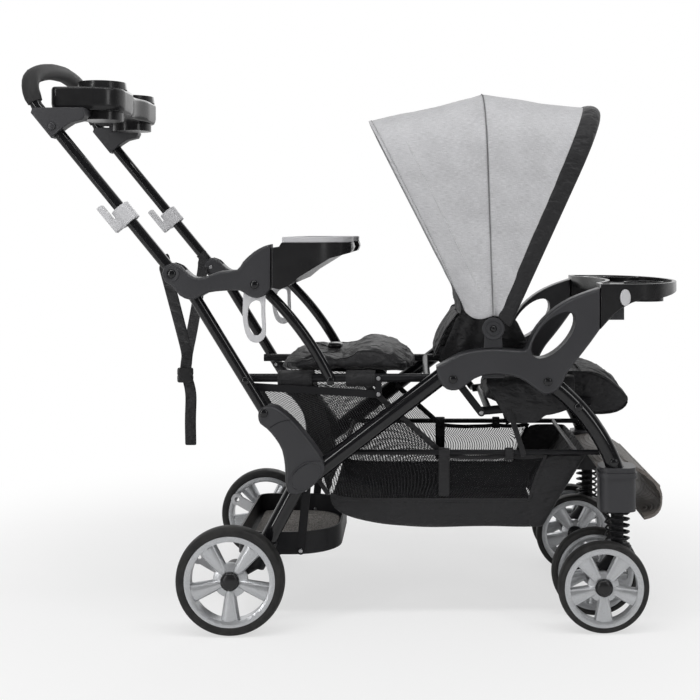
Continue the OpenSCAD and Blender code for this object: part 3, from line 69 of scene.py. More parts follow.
class Val:
    """A socket of a shader tree, used in sums like a number."""

    def __init__(self, nodes, socket):
        self.nodes, self.socket = nodes, socket

    def __add__(self, other):
        return self.nodes.math("ADD", self, other)

    def __sub__(self, other):
        return self.nodes.math("SUBTRACT", self, other)

    def __rsub__(self, other):
        return self.nodes.math("SUBTRACT", other, self)

    def __mul__(self, other):
        return self.nodes.math("MULTIPLY", self, other)

    def __pow__(self, other):
        return self.nodes.math("POWER", self, other)

    __radd__, __rmul__ = __add__, __mul__

    def ramp(self, low, high, to=(0.0, 1.0)):
        """This value eased from low to high onto another span."""
        span = {"Value": self, "From Min": low, "From Max": high, "To Min": to[0], "To Max": to[1]}
        return self.nodes.node("MapRange", {"interpolation_type": "SMOOTHSTEP"}, span)


class Nodes:
    """The nodes of one shader tree."""

    def __init__(self, tree):
        self.tree = tree

    def feed(self, socket, value):
        if isinstance(value, Val):
            self.tree.links.new(value.socket, socket)
        else:
            socket.default_value = value

    def node(self, kind, settings, inputs, out=0):
        made = self.tree.nodes.new("ShaderNode" + kind)
        for key, value in settings.items():
            setattr(made, key, value)
        for key, value in inputs.items():
            self.feed(made.inputs[key], value)
        return Val(self, made.outputs[out])

    def math(self, operation, a, b=0.0):
        return self.node("Math", {"operation": operation}, {0: a, 1: b})

    def axis(self, where, letter):
        return self.node("SeparateXYZ", {}, {"Vector": where}, letter)

    def ray(self, kind):
        return self.node("LightPath", {}, {}, f"Is {kind} Ray")


def drawn(name, points, edges, faces):
    """A new piece in the scene from its points."""
    mesh = bpy.data.meshes.new(name)
    mesh.from_pydata(points, edges, faces)
    piece = bpy.data.objects.new(name, mesh)
    scene.collection.objects.link(piece)
    return piece


floor_paper = bpy.data.materials.new("pale_floor")
floor_paper.use_nodes = True
ground = Nodes(floor_paper.node_tree)
ground.tree.nodes.remove(ground.tree.nodes["Principled BSDF"])
spot = ground.node("NewGeometry", {}, {}, "Position")
away = ground.node("VectorMath", {"operation": "LENGTH"}, {0: spot}, "Value")
whitened = away.ramp(0.5, 1.5, (0.62, 1.0)) * ground.ray("Camera")
paper = ground.node("BsdfDiffuse", {}, {"Color": (0.93, 0.93, 0.93, 1)})
ground.feed(ground.tree.nodes["Material Output"].inputs["Surface"],
            ground.node("MixShader", {}, {0: whitened, 1: paper, 2: ground.node("Emission", {}, {})}))
floor = drawn("floor", [(-9, -9, 0), (9, -9, 0), (9, 9, 0), (-9, 9, 0)], [], [(0, 1, 2, 3)])
floor.data.materials.append(floor_paper)

world = bpy.data.worlds.new("studio")
scene.world = world
world.use_nodes = True
sky = Nodes(world.node_tree)
background = sky.tree.nodes["Background"].inputs
background["Color"].default_value = (1, 1, 1, 1)
AMBIENT = 0.36
shown = sky.math("MAXIMUM", sky.ray("Camera"), sky.ray("Transmission"))
backdrop = sky.axis(sky.node("TexCoord", {}, {}, "Generated"), "Y").ramp(-0.05, 0.6, (0.1, 1.0))
shown_or_mirrored = sky.math("MAXIMUM", shown, sky.ray("Glossy") * backdrop)
sky.feed(background["Strength"], sky.math("MAXIMUM", shown_or_mirrored, (1.0 - sky.ray("Glossy")) * AMBIENT))

for name, place, aim, size, watts in (("overhead", (0.2, -1.0, 2.7), (0.1, 0, 0.5), (4.4, 0.3), 34),
                                      ("front_left", (-2.1, -2.4, 1.22), (0, 0, 0.9), (0.3, 2.4), 22),
                                      ("front_right", (2.2, -2.0, 1.5), (0.1, 0, 0.5), (0.5, 1.6), 10),
                                      ("behind", (0.2, 2.6, 2.0), (0, 0, 0.6), (1.6, 1.2), 9)):
    lamp = bpy.data.lights.new(name, "AREA")
    lamp.shape, lamp.size, lamp.size_y, lamp.energy = "RECTANGLE", size[0], size[1], watts
    soft_box = bpy.data.objects.new(name, lamp)
    soft_box.location = place
    soft_box.rotation_euler = (Vector(aim) - Vector(place)).to_track_quat("-Z", "Y").to_euler()
    scene.collection.objects.link(soft_box)

lens = bpy.data.cameras.new("camera")
lens.sensor_width, lens.lens = 36, 61.7
lens.shift_x, lens.shift_y = -0.093, -0.169
camera = bpy.data.objects.new("camera", lens)
camera.location, camera.rotation_euler = (0.1085, -2.458, 0.737), (math.pi / 2, 0, 0)
scene.collection.objects.link(camera)
scene.camera = camera

# Side frame tubes: bent steel tube in gloss black enamel, with plug ends inside the mouldings.
# Each is a merged copy of its solid, with its cut edges eased as a deburred tube's are.
body_of = {n: b for b, members in frame["record"]["behaviour"]["bodies"].items() for n in members}


class Finish(Nodes):
    """One finish of this stroller: plain values set once, and nodes for what changes over the surface."""

    def __init__(self, name, colour, values):
        self.material = bpy.data.materials.new(name)
        self.material.use_nodes = True
        super().__init__(self.material.node_tree)
        self.shader = self.tree.nodes["Principled BSDF"]
        for key, value in {"Base Color": (*colour, 1), **values}.items():
            self.shader.inputs[key].default_value = value

    def place(self, scale=(1, 1, 1), read="Object"):
        return self.node("Mapping", {}, {"Vector": self.node("TexCoord", {}, {}, read), "Scale": scale})

    def noise(self, scale, detail=2.0, where=None):
        return self.node("TexNoise", {}, {"Vector": where or self.place(), "Scale": scale, "Detail": detail})

    def mix(self, factor, a, b):
        return self.node("Mix", {"data_type": "RGBA"}, {0: factor, 6: (*a, 1), 7: (*b, 1)}, 2)

    def paint(self, **sockets):
        for key, value in sockets.items():
            self.feed(self.shader.inputs[key.replace("_", " ")], value)

    def mottle(self, spots, dark, pale, rough, between=(0.3, 0.7)):
        """Spots of colour from dark to pale, with a roughness that follows them."""
        self.paint(Base_Color=self.mix(spots, dark, pale), Roughness=spots.ramp(*between, rough))

    def relief(self, height, depth):
        """Height from 0 to 1 as a bump of that depth in metres."""
        self.paint(Normal=self.node("Bump", {}, {"Strength": 1.0, "Distance": depth, "Height": height}))


def merged(node):
    """A solid's loose triangles joined into one shape."""
    shape = bmesh.new()
    shape.from_mesh(frame["nodes"][node].data)
    bmesh.ops.remove_doubles(shape, verts=shape.verts, dist=2e-5)
    return shape


def cast(name, shape):
    """A bare piece with smooth faces from a shape, which is used up."""
    mesh = bpy.data.meshes.new(name)
    shape.to_mesh(mesh)
    shape.free()
    mesh.materials.clear()
    mesh.shade_smooth()
    return bpy.data.objects.new(name, mesh)


def fit(piece, body, finish, slot, *nodes):
    """Puts a piece in the scene with its finish, on its body, in place of its solids."""
    if piece.name not in scene.collection.objects:
        scene.collection.objects.link(piece)
    if finish:
        piece.data.materials.append(finish.material)
    if body:
        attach(piece, body)
    if nodes:
        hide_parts(*nodes)
    return piece


def softened(node, finish, slot, edge, sharp=48, formed=None):
    """A merged copy of a solid with eased edges, which stands for it on the same body."""
    shape = merged(node)
    bmesh.ops.dissolve_limit(shape, angle_limit=math.radians(0.5), verts=shape.verts, edges=shape.edges)
    if formed:
        formed(shape)
    piece = cast(node + "_made", shape)
    piece.data.set_sharp_from_angle(angle=math.radians(sharp))
    ease = piece.modifiers.new("eased", "BEVEL")
    ease.width, ease.segments, ease.limit_method, ease.angle_limit = edge, 2, "ANGLE", math.radians(sharp)
    piece.modifiers.new("even", "WEIGHTED_NORMAL").keep_sharp = True
    return fit(piece, body_of[node], finish, slot, node)


enamel = Finish("gloss_black_enamel", (0.007, 0.007, 0.008), {"Roughness": 0.1, "Specular IOR Level": 0.5})
peel = enamel.noise(260, 3)
enamel.paint(Roughness=peel.ramp(0.3, 0.75, (0.07, 0.13)),
             Base_Color=enamel.mix(peel.ramp(0.45, 0.8), (0.006, 0.006, 0.007), (0.011, 0.011, 0.012)))
enamel.relief(peel, 0.000004)
for tube in ("main_tubes", "front_legs", "uprights", "armrest_struts", "handle_tube"):
    softened(tube, enamel, "tube_paint", 0.0008)

# Side mouldings: charcoal nylon shells that clamp the tubes, with a fine spark-eroded grain and
# slightly polished high spots from handling.
charcoal = Finish("charcoal_moulding", (0.03, 0.03, 0.033), {"Roughness": 0.42, "Specular IOR Level": 0.42})
grain, patch = charcoal.noise(1500), charcoal.noise(9, 3)
shade = grain * 0.5 + patch * 0.5
charcoal.paint(Roughness=patch.ramp(0.3, 0.7, (0.36, 0.46)),
               Base_Color=charcoal.mix(shade, (0.028, 0.028, 0.031), (0.046, 0.046, 0.05)))
charcoal.relief(grain, 0.00012)
for moulding in ("side_arch_right", "side_arch_left"):
    softened(moulding, charcoal, "arch_plastic", 0.0035)
for moulding in ("rear_knuckles", "arms", "handle_brackets", "canopy_mounts", "leg_sockets"):
    softened(moulding, charcoal, "arch_plastic", 0.002)

# Lower mouldings: black nylon with a pebbled grain. The brackets clamp the rear axle to the legs, the
# platform hangs between them, and each fork turns on a post that slides in its leg socket.
black = Finish("black_moulding", (0.02, 0.02, 0.022), {"Roughness": 0.4, "Specular IOR Level": 0.26})
pebble = black.noise(900)
black.mottle(pebble, (0.009, 0.009, 0.01), (0.018, 0.018, 0.02), (0.3, 0.5), (0.25, 0.8))
black.relief(pebble, 0.00009)
for moulding in ("axle_brackets", "standing_platform", "fork_right", "fork_left", "strut_right",
                 "strut_left"):
    softened(moulding, black, "dark_plastic", 0.001)

# Trays: polished black plastic, pressed into the handle brackets, hung between the arms and slid into
# the side arches. The parent tray is drawn in at its foot and brow, and hollow in front between its cups.
polished = Finish("polished_black", (0.01, 0.01, 0.011), {"Roughness": 0.22, "Specular IOR Level": 0.4})
polished.mottle(polished.noise(40, 4), (0.013, 0.0128, 0.0135), (0.017, 0.0168, 0.0176), (0.2, 0.26),
                (0.35, 0.7))
for tray in ("rear_tray", "front_tray"):
    softened(tray, polished, "dark_plastic", 0.001)


def drawn_in(shape):
    """Rounds the parent tray's outer wall at foot and brow, and hollows its front between the cups."""
    low, high, back, ahead, half = 0.9685, 1.0125, -0.5839, -0.4519, 0.186
    back_corner, front_corner = 0.0128, 0.0544
    foot_high, foot_deep, brow_high, brow_deep = 0.017, 0.0058, 0.009, 0.0045
    hollow_from, hollow_half, hollow_deep = -0.478, 0.08, 0.013
    levels = [low + d for d in (0.0008, 0.003, 0.007, 0.012)] + [high - d for d in (0.006, 0.003, 0.001)]
    cuts = [((0, 0, z), (0, 0, 1)) for z in levels]
    cuts += [((0, y, 0), (0, 1, 0)) for y in np.linspace(-hollow_half, hollow_half, 11)]
    for point, way in cuts:
        whole = shape.verts[:] + shape.edges[:] + shape.faces[:]
        bmesh.ops.bisect_plane(shape, geom=whole, plane_co=point, plane_no=way)

    def rounding(share):
        return 1 - math.sqrt(1 - min(max(0, share), 1) ** 2)

    for v in shape.verts:
        x, y, z = v.co.x, abs(v.co.y), v.co.z
        corner = back_corner if x < (back + ahead) / 2 else front_corner
        way = Vector((x - min(max(x, back + back_corner), ahead - front_corner), y - min(y, half - corner)))
        if low - 1e-4 < z < high + 1e-4 and abs(way.length - corner) < 6e-4:
            way *= (foot_deep * rounding(1 - (z - low) / foot_high)
                    + brow_deep * rounding(1 - (high - z) / brow_high)) / way.length
            v.co.x -= way.x
            v.co.y -= math.copysign(way.y, v.co.y)
        if x > hollow_from and y < hollow_half:
            v.co.x -= hollow_deep * (1 - (y / hollow_half) ** 2) ** 2


softened("parent_tray", polished, "dark_plastic", 0.0008, 40, drawn_in)

# Foot rest: a grey-brown rubbery plastic shell screwed over the front legs. Rings for grip stand up
# round a centre on either side.
rest = Finish("grey_brown_moulding", (0.15, 0.132, 0.118), {"Roughness": 0.55})
speck = rest.noise(700, 3)
rest.mottle(speck, (0.125, 0.11, 0.098), (0.175, 0.155, 0.14), (0.48, 0.62))
aside = rest.math("ABSOLUTE", rest.axis(rest.place(), "Y")) - 0.09
ahead = rest.axis(rest.place(), "X") - 0.552
RINGS = 260.0
ring = rest.math("ABSOLUTE", rest.math("SINE", (ahead * ahead * 1.6 + aside * aside * 0.5) ** 0.5 * RINGS))
rest.relief(speck * 0.1 + ring.ramp(0.75, 0.95) * 0.9, 0.0011)
softened("footrest", rest, "rest_plastic", 0.0015)

# Grip mat of the standing platform: a grey flecked rubber mat, cut to the dish and glued into it,
# with a rough upper face.
mat = Finish("flecked_grip_mat", (0.2, 0.195, 0.19), {"Roughness": 0.85})
fleck = mat.node("TexVoronoi", {}, {"Vector": mat.place(), "Scale": 420.0})
mat.paint(Base_Color=mat.mix(fleck.ramp(0.1, 0.8), (0.09, 0.085, 0.083), (0.36, 0.34, 0.32)))
mat.relief(fleck, 0.0006)
softened("platform_grip", mat, "grip_rubber", 0.001)

# Steel under the seats: bare-looking black rails, flat links, the axle and the sprung bows, bolted to
# the side frames. The coil springs stand between fork and socket.
steel = Finish("black_steel", (0.012, 0.012, 0.013), {"Roughness": 0.36, "Specular IOR Level": 0.2})
mill = steel.noise(420)
steel.mottle(mill, (0.008, 0.008, 0.009), (0.018, 0.018, 0.02), (0.3, 0.44))
steel.relief(mill, 0.00005)
for bar in ("rear_axle", "link_bars", "seat_frame", "canopy_rear_bow", "canopy_mid_bow", "canopy_front_bow"):
    softened(bar, steel, "steel", 0.0006)
SPRING_TRAVEL = 0.012
for side in ("right", "left"):
    low, high = (Vector(v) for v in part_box("spring_" + side))
    tall = high.z - low.z
    top = (low + high) / 2 + Vector((0, 0, tall / 2))
    coil = softened("spring_" + side, steel, "steel", 0.0006)
    1 - SPRING_TRAVEL / tall
    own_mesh(coil)

# Bolts: domed steel heads through tubes and mouldings. The outer heads are enamelled with the frame,
# and the shanks and inner nuts are bare.
bright = Finish("satin_bolt_steel", (0.5, 0.5, 0.51), {"Roughness": 0.32, "Metallic": 1.0})
bright.mottle(bright.noise(800), (0.42, 0.42, 0.43), (0.58, 0.58, 0.59), (0.24, 0.42))
bolts = softened("frame_bolts", bright, "bolt_steel", 0.0008)
bolts.data.materials.append(enamel.material)
PAINTED_FROM = 0.2115
for face in bolts.data.polygons:
    face.material_index = int(abs(face.center.y) > PAINTED_FROM)

# Light plastic bits: rim of the rear tray, fold triggers, tray buttons, hanging loops, brake levers.
# All are moulded in one pale grey with a fine grain. The triggers slide on the handle tubes.
light = Finish("light_grey_moulding", (0.56, 0.56, 0.575), {"Roughness": 0.42})
fine = light.noise(1100)
light.mottle(fine, (0.55, 0.55, 0.565), (0.58, 0.58, 0.595), (0.36, 0.5))
light.relief(fine, 0.000003)
for bit in ("rear_tray_rim", "tray_button_right", "tray_button_left", "loop_right", "loop_left",
            "brake_right", "brake_left"):
    softened(bit, light, "light_plastic", 0.001)


def settle(piece):
    """Turns a piece with its modifiers into a plain smooth mesh with outward faces."""
    made = bpy.data.meshes.new_from_object(piece.evaluated_get(bpy.context.evaluated_depsgraph_get()))
    piece.modifiers.clear()
    piece.data = made
    shape = bmesh.new()
    shape.from_mesh(made)
    bmesh.ops.recalc_face_normals(shape, faces=shape.faces)
    shape.to_mesh(made)
    shape.free()
    made.shade_smooth()


def recast(node, name, shrink, voxel, turns):
    """A solid's copy as one even mesh with its edges rounded over."""
    shape = merged(node)
    bmesh.ops.recalc_face_normals(shape, faces=shape.faces)
    shape.normal_update()
    for v, normal in [(v, v.normal.copy()) for v in shape.verts]:
        v.co -= normal * shrink
    piece = cast(name, shape)
    scene.collection.objects.link(piece)
    even = piece.modifiers.new("even", "REMESH")
    even.mode, even.voxel_size = "VOXEL", voxel
    calm = piece.modifiers.new("calm", "SMOOTH")
    calm.factor, calm.iterations = 0.5, turns
    settle(piece)
    return piece


for trigger in ("trigger_right", "trigger_left"):
    fit(recast(trigger, trigger + "_made", 0.0, 0.0011, 9), trigger, light, "light_plastic", trigger)

# Wheels: silver plastic rims with five flared spokes and black push-on caps, in solid foam tyres with a
# raised bead on each wall. The rear ones turn on the axle's ends, the front ones in pairs on the forks.
silver = Finish("silver_rim_plastic", (0.52, 0.53, 0.545),
                {"Roughness": 0.3, "Metallic": 0.7, "Coat Weight": 0.2})
flake = silver.noise(1800)
silver.mottle(flake, (0.5, 0.51, 0.526), (0.6, 0.61, 0.625), (0.26, 0.38))
silver.relief(flake, 0.00005)
tyre = Finish("matt_tyre", (0.02, 0.0195, 0.0195), {"Roughness": 0.6, "Specular IOR Level": 0.34})
dust = tyre.noise(60, 4)
tyre.paint(Base_Color=tyre.mix(dust.ramp(0.35, 0.7), (0.014, 0.0138, 0.0138), (0.028, 0.027, 0.0265)),
           Roughness=dust.ramp(0.3, 0.7, (0.5, 0.68)))
tyre.relief(tyre.noise(900), 0.0001)
for side in ("right", "left"):
    for rim in ("rear_rim_", "front_rims_"):
        softened(rim + side, silver, "rim_plastic", 0.0012)
    for ring in ("rear_tyre_", "front_tyres_"):
        softened(ring + side, tyre, "tyre", 0.0015)

SIDES = (("right", -1), ("left", 1))
REAR_HUB, OUTER_HUB, INNER_HUB = (-0.229, 0.264, 0.1), (0.455, 0.250, 0.084), (0.455, 0.146, 0.084)


def circle(count):
    """The angles of evenly many points round a full turn."""
    return [2 * math.pi * i / count for i in range(count)]


def blunt(value, power):
    """A sine or cosine pressed out towards the corners of its square."""
    return math.copysign(abs(value) ** power, value)


def rings_mesh(name, rings, hollow=False):
    """A closed mesh through rings of points, capped at both ends or, when hollow, joined last to first."""
    n, m = len(rings[0]), len(rings)
    faces = [(i * n + j, i * n + (j + 1) % n, (i + 1) % m * n + (j + 1) % n, (i + 1) % m * n + j)
             for i in range(m if hollow else m - 1) for j in range(n)]
    if not hollow:
        faces += [tuple(range(n)), tuple(range((m - 1) * n, m * n))]
    piece = drawn(name, [p for ring in rings for p in ring], [], faces)
    settle(piece)
    return piece


def repeater(name, sizes, kinds, settings, links):
    """A tree that sets copies on points, makes them real and paints them, with its inputs and its nodes."""
    tree = bpy.data.node_groups.new(name, "GeometryNodeTree")
    inputs = {key: tree.interface.new_socket(key, in_out="INPUT", socket_type="NodeSocket" + kind).identifier
              for key, kind in {"Geometry": "Geometry", **sizes, "Finish": "Material"}.items()}
    tree.interface.new_socket("Geometry", in_out="OUTPUT", socket_type="NodeSocketGeometry")
    made = {key: tree.nodes.new(kind) for key, kind in {
        **kinds, "copies": "GeometryNodeInstanceOnPoints", "real": "GeometryNodeRealizeInstances",
        "painted": "GeometryNodeSetMaterial", "given": "NodeGroupInput", "result": "NodeGroupOutput"}.items()}
    for key, setting, value in settings:
        setattr(made[key], setting, value)
    for a, out, b, into in (*links, ("copies", 0, "real", 0), ("real", 0, "painted", 0),
                            ("given", "Finish", "painted", "Material"), ("painted", 0, "result", 0)):
        tree.links.new(made[a].outputs[out], made[b].inputs[into])
    return tree, inputs, made


def grown(piece, tree, inputs, **sizes):
    """Runs a piece through a tree and keeps the result as a plain mesh."""
    copies = piece.modifiers.new("copies", "NODES")
    copies.node_group = tree
    for key, value in sizes.items():
        copies[inputs[key]] = value
    settle(piece)
    return piece


around, around_inputs, made = repeater(
    "around_axle", {"Count": "Int"},
    {"points": "GeometryNodePoints", "index": "GeometryNodeInputIndex", "turn": "ShaderNodeMath",
     "step": "ShaderNodeMath", "angles": "ShaderNodeCombineXYZ"},
    (("turn", "operation", "DIVIDE"), ("step", "operation", "MULTIPLY")),
    (("given", "Count", "points", "Count"), ("given", "Count", "turn", 1), ("index", 0, "step", 0),
     ("turn", 0, "step", 1), ("step", 0, "angles", "Y"), ("points", 0, "copies", "Points"),
     ("given", "Geometry", "copies", "Instance"), ("angles", 0, "copies", "Rotation")))
made["turn"].inputs[0].default_value = 2 * math.pi


def spoke_wheel(name, centre, reach, tall):
    """Five rounded spokes that widen towards the rim, one of them pointing down."""
    root, flare, start = 0.0068, 0.0118, 0.012
    rings = []
    for s in np.linspace(0, 1, 9):
        half, high, down = root + flare * s ** 0.9, tall * (0.72 + 0.28 * s), start + (reach - start) * s
        rings.append([(half * math.cos(a), high * blunt(math.sin(a), 0.75), -down) for a in circle(20)])
    wheel = grown(rings_mesh(name, rings), around, around_inputs, Count=5, Finish=silver.material)
    wheel.data.transform(Matrix.Translation(centre))
    return wheel


def turned(name, centre, way, profile, steps=56):
    """A closed piece turned about a line along Y through a centre, from radii and outward heights."""
    x, y, z = centre
    rings = [[(x + r * math.cos(a), y + way * h, z + r * math.sin(a)) for a in circle(steps)]
             for r, h in profile]
    piece = rings_mesh(name, rings, profile[0][0] > 0.001)
    piece.data.set_sharp_from_angle(angle=math.radians(40))
    return piece


for side, s in SIDES:
    for word, body, (x, y, z), reach, tall in (
            ("rear_spokes_", "rear_wheel_", REAR_HUB, 0.0775, 0.0128),
            ("front_spokes_outer_", "front_wheels_", OUTER_HUB, 0.0672, 0.0108),
            ("front_spokes_inner_", "front_wheels_", INNER_HUB, 0.0672, 0.0108)):
        fit(spoke_wheel(word + side, (x, s * y, z), reach, tall), body + side, None, "rim_plastic")

BEAD = ((0.868, 0.86), (0.872, 0.985), (0.885, 1.03), (0.9, 1.03), (0.91, 0.985), (0.914, 0.86))
HUB_WEB = ((1e-4, -0.006), (0.029, -0.006), (0.0325, -0.001), (0.0315, 0.0028), (0.026, 0.0052),
           (0.018, 0.0072), (1e-4, 0.0072))
CAP = ((1e-4, 0.0), (0.98, 0.0), (1.0, 0.006), (0.97, 0.0094), (0.84, 0.0122), (0.6, 0.0139), (0.3, 0.0148),
       (1e-4, 0.015))
for side, s in SIDES:
    for word, body, hubs, half in (("rear", "rear_wheel_", (REAR_HUB,), 0.0172),
                                   ("front", "front_wheels_", (OUTER_HUB, INNER_HUB), 0.0142)):
        for k, (x, y, radius) in enumerate(hubs):
            for way in (-1, 1):
                wall = "in" if way * s < 0 else "out"
                bead = [(r * radius, h * half) for r, h in BEAD]
                ring = turned(f"{word}_bead_{side}_{k}_{wall}", (x, s * y, radius), way, bead)
                fit(ring, body + side, tyre, "tyre")
    pair, caster = "front_wheels_" + side, "caster_" + side
    for word, which, body, carrier, (x, y, z), way, share, end, cap_r in (
            ("rear", "", "rear_wheel_" + side, "chassis", REAR_HUB, s, 1.0, 0.2684, 0.0174),
            ("front", "outer_", pair, caster, OUTER_HUB, s, 0.9, 0.2530, 0.0158),
            ("front", "inner_", pair, caster, INNER_HUB, -s, 0.9, 0.1430, 0.0158)):
        web = [(r * share, h) for r, h in HUB_WEB]
        fit(turned(f"{word}_hub_web_{which}{side}", (x, s * y, z), way, web), body, silver, "rim_plastic")
        cap = [(r * cap_r, h) for r, h in CAP]
        fit(turned(f"{word}_cap_{which}{side}", (x, s * end, z), way, cap), carrier, polished, "dark_plastic")

# Handle grip: a sleeve of closed-cell foam pushed over the bend of the handle tube before the ends of the
# tube are bolted on, with the open cells of a cut face.
foam = Finish("foam_grip", (0.024, 0.0235, 0.024), {"Roughness": 0.62, "Specular IOR Level": 0.32})
cell = foam.noise(1400, 3)
foam.paint(Base_Color=foam.mix(cell, (0.013, 0.013, 0.0135), (0.038, 0.037, 0.038)))
foam.relief(cell, 0.0003)
softened("handle_grip", foam, "foam", 0.0008)

# Canopy: heather-grey polyester in two gores over three sprung bows, seamed over the middle bow and hemmed
# along the rear one. The front bow runs in a broad sleeve of black nylon, the coated plain weave that the
# seats and the basket are made of too.
nylon = Finish("black_nylon", (0.012, 0.012, 0.013),
               {"Roughness": 0.6, "Specular IOR Level": 0.34, "Sheen Weight": 0.1})
weave = nylon.noise(900)
nylon.mottle(weave, (0.008, 0.008, 0.009), (0.026, 0.0255, 0.0275), (0.48, 0.66))
fold = nylon.math("ABSOLUTE", nylon.noise(26, 3, nylon.place((1.0, 1.0, 1.7))) * 2.0 - 1.0)
nylon.relief(weave * 0.06 + (1.0 - fold.ramp(0.0, 0.45)) * 0.94, 0.0026)

heather = Finish("heather_grey_cloth", (0.46, 0.46, 0.475),
                 {"Roughness": 0.88, "Sheen Weight": 0.15, "Specular IOR Level": 0.25})
slub = heather.noise(1, 3, heather.place((1500, 90, 1), "UV"))
warp = heather.noise(1, 2, heather.place((130, 1500, 1), "UV"))
cloud = heather.noise(14, 3, heather.place(read="UV"))
tone = slub * 0.6 + warp * 0.3 + cloud * 0.25
heather.paint(Base_Color=heather.mix(tone.ramp(0.36, 0.78), (0.39, 0.39, 0.402), (0.64, 0.64, 0.655)))
heather.relief(slub * 0.5 + warp * 0.5, 0.00035)

X, Y, Z = Vector((1, 0, 0)), Vector((0, 1, 0)), Vector((0, 0, 1))
hub = Vector((0.254, 0, 0.556))
REAR_BOW, MID_BOW, FRONT_BOW = 120.3, 91.8, 63.8


def ray(angle, reach):
    """A point in the middle plane, at that angle and reach from the canopy's hub."""
    return hub + Vector((math.cos(math.radians(angle)), 0, math.sin(math.radians(angle)))) * reach


def side_on(pairs, y=0.0):
    """Points given as seen from the side, at one place across."""
    return [Vector((x, y, z)) for x, z in pairs]


def hoop(low, high, half):
    """A line of cloth from a low point on the near side, up, across and down the far side."""
    corner, side, bend, flat = 0.128, 22, 9, 10
    up = high - low
    straight = up.length - corner
    near = [(straight * i / side, half) for i in range(side)]
    for a in (math.pi / 2 * i / bend for i in range(bend + 1)):
        near.append((straight + corner * math.sin(a), half - corner + corner * math.cos(a)))
    across = [(straight + corner, (half - corner) * (1 - 2 * i / flat)) for i in range(1, flat)]
    line = [(r, -y) for r, y in near + across] + list(reversed(near))
    return [low + up.normalized() * r + Y * y for r, y in line]


def eased_line(points, count):
    """Evenly many points on a smooth curve through the given ones."""
    pts = [Vector(p) for p in points]
    pts = [2 * pts[0] - pts[1]] + pts + [2 * pts[-1] - pts[-2]]
    out = []
    for k in range(count):
        x = k / (count - 1) * (len(pts) - 3)
        i = min(int(x), len(pts) - 4)
        t = x - i
        a, b, c, d = pts[i:i + 4]
        bend, twist = 2 * a - 5 * b + 4 * c - d, 3 * b - a - 3 * c + d
        out.append(0.5 * (2 * b + (c - a) * t + bend * t * t + twist * t ** 3))
    return out


def cloth_grid(name, rows, thick, levels=1):
    """A sheet through rows of points, with a UV map in metres, thickened and settled to a plain mesh."""
    wide, count = len(rows[0]), len(rows)
    piece = drawn(name, [p for row in rows for p in row], [],
                  [(i * wide + j, i * wide + j + 1, (i + 1) * wide + j + 1, (i + 1) * wide + j)
                   for i in range(count - 1) for j in range(wide - 1)])
    along, across = ([[0.0] * wide for _ in rows] for _ in range(2))
    for i in range(count):
        for j in range(wide):
            if j:
                along[i][j] = along[i][j - 1] + (rows[i][j] - rows[i][j - 1]).length
            if i:
                across[i][j] = across[i - 1][j] + (rows[i][j] - rows[i - 1][j]).length
    layer = piece.data.uv_layers.new(name="cut")
    for loop in piece.data.loops:
        i, j = divmod(loop.vertex_index, wide)
        layer.data[loop.index].uv = (along[i][j], across[i][j])
    wall = piece.modifiers.new("thickness", "SOLIDIFY")
    wall.thickness, wall.offset = thick, 0
    if levels:
        round_off = piece.modifiers.new("round", "SUBSURF")
        round_off.levels = round_off.render_levels = levels
    settle(piece)
    return piece


def ridge(p, stretch, seed):
    """How far slack cloth stands up at a point, in long soft creases with a ripple between them."""
    where = Vector((p.x * stretch[0] + seed, p.y * stretch[1], p.z * stretch[2]))
    return (1 - abs(noise.noise(where))) ** 4 - 0.35 + 0.4 * noise.noise(where * 2.3)


def slack_rows(rows, depth, stretch, seed):
    """Presses soft creases into rows of points across their own sheet."""
    out = []
    for i, row in enumerate(rows):
        above, below = rows[min(i + 1, len(rows) - 1)], rows[max(i - 1, 0)]
        out.append([])
        for j, p in enumerate(row):
            along = row[min(j + 1, len(row) - 1)] - row[max(j - 1, 0)]
            out[i].append(p + along.cross(above[j] - below[j]).normalized() * depth * ridge(p, stretch, seed))
    return out


def turned_weights(piece, start, end):
    """Works out, by angle round the hub, how far each point of the canopy cloth would follow the bow ahead;
    keeps nothing.
    """
    angles = [math.degrees(math.atan2(v.co.z - hub.z, v.co.x - hub.x)) % 360 for v in piece.data.vertices]
    weights = [min(max((start - angle) / (start - end), 0), 1) for angle in angles]


def crease(row, share, depth):
    """Soft slack in a row of canopy cloth between its bows."""
    out = []
    for j, p in enumerate(row):
        s = j / (len(row) - 1)
        side = min(s, 1 - s) * 2
        slack = 0.4 + 0.6 * math.sin(side * 9 + share * 5) * math.sin(side * 4.3 + 1)
        slack *= math.sin(share * math.pi) * depth
        out.append(p + (hub - p).normalized() * slack - Y * (0.6 * slack * (1 if p.y > 0 else -1)))
    return out


def gore(name, lows, high_a, high_b, count):
    """A gore of the canopy from one bow to the next, and the rows of points that it was made from."""
    rows = []
    for i, low in enumerate(eased_line(side_on(lows), count)):
        t = i / (count - 1)
        rows.append(crease(hoop(low, high_a.lerp(high_b, t), 0.221), t, 0.004))
    rows = slack_rows(rows, 0.0022, (9, 9, 30), 81)
    return cloth_grid(name, rows, 0.0018), rows


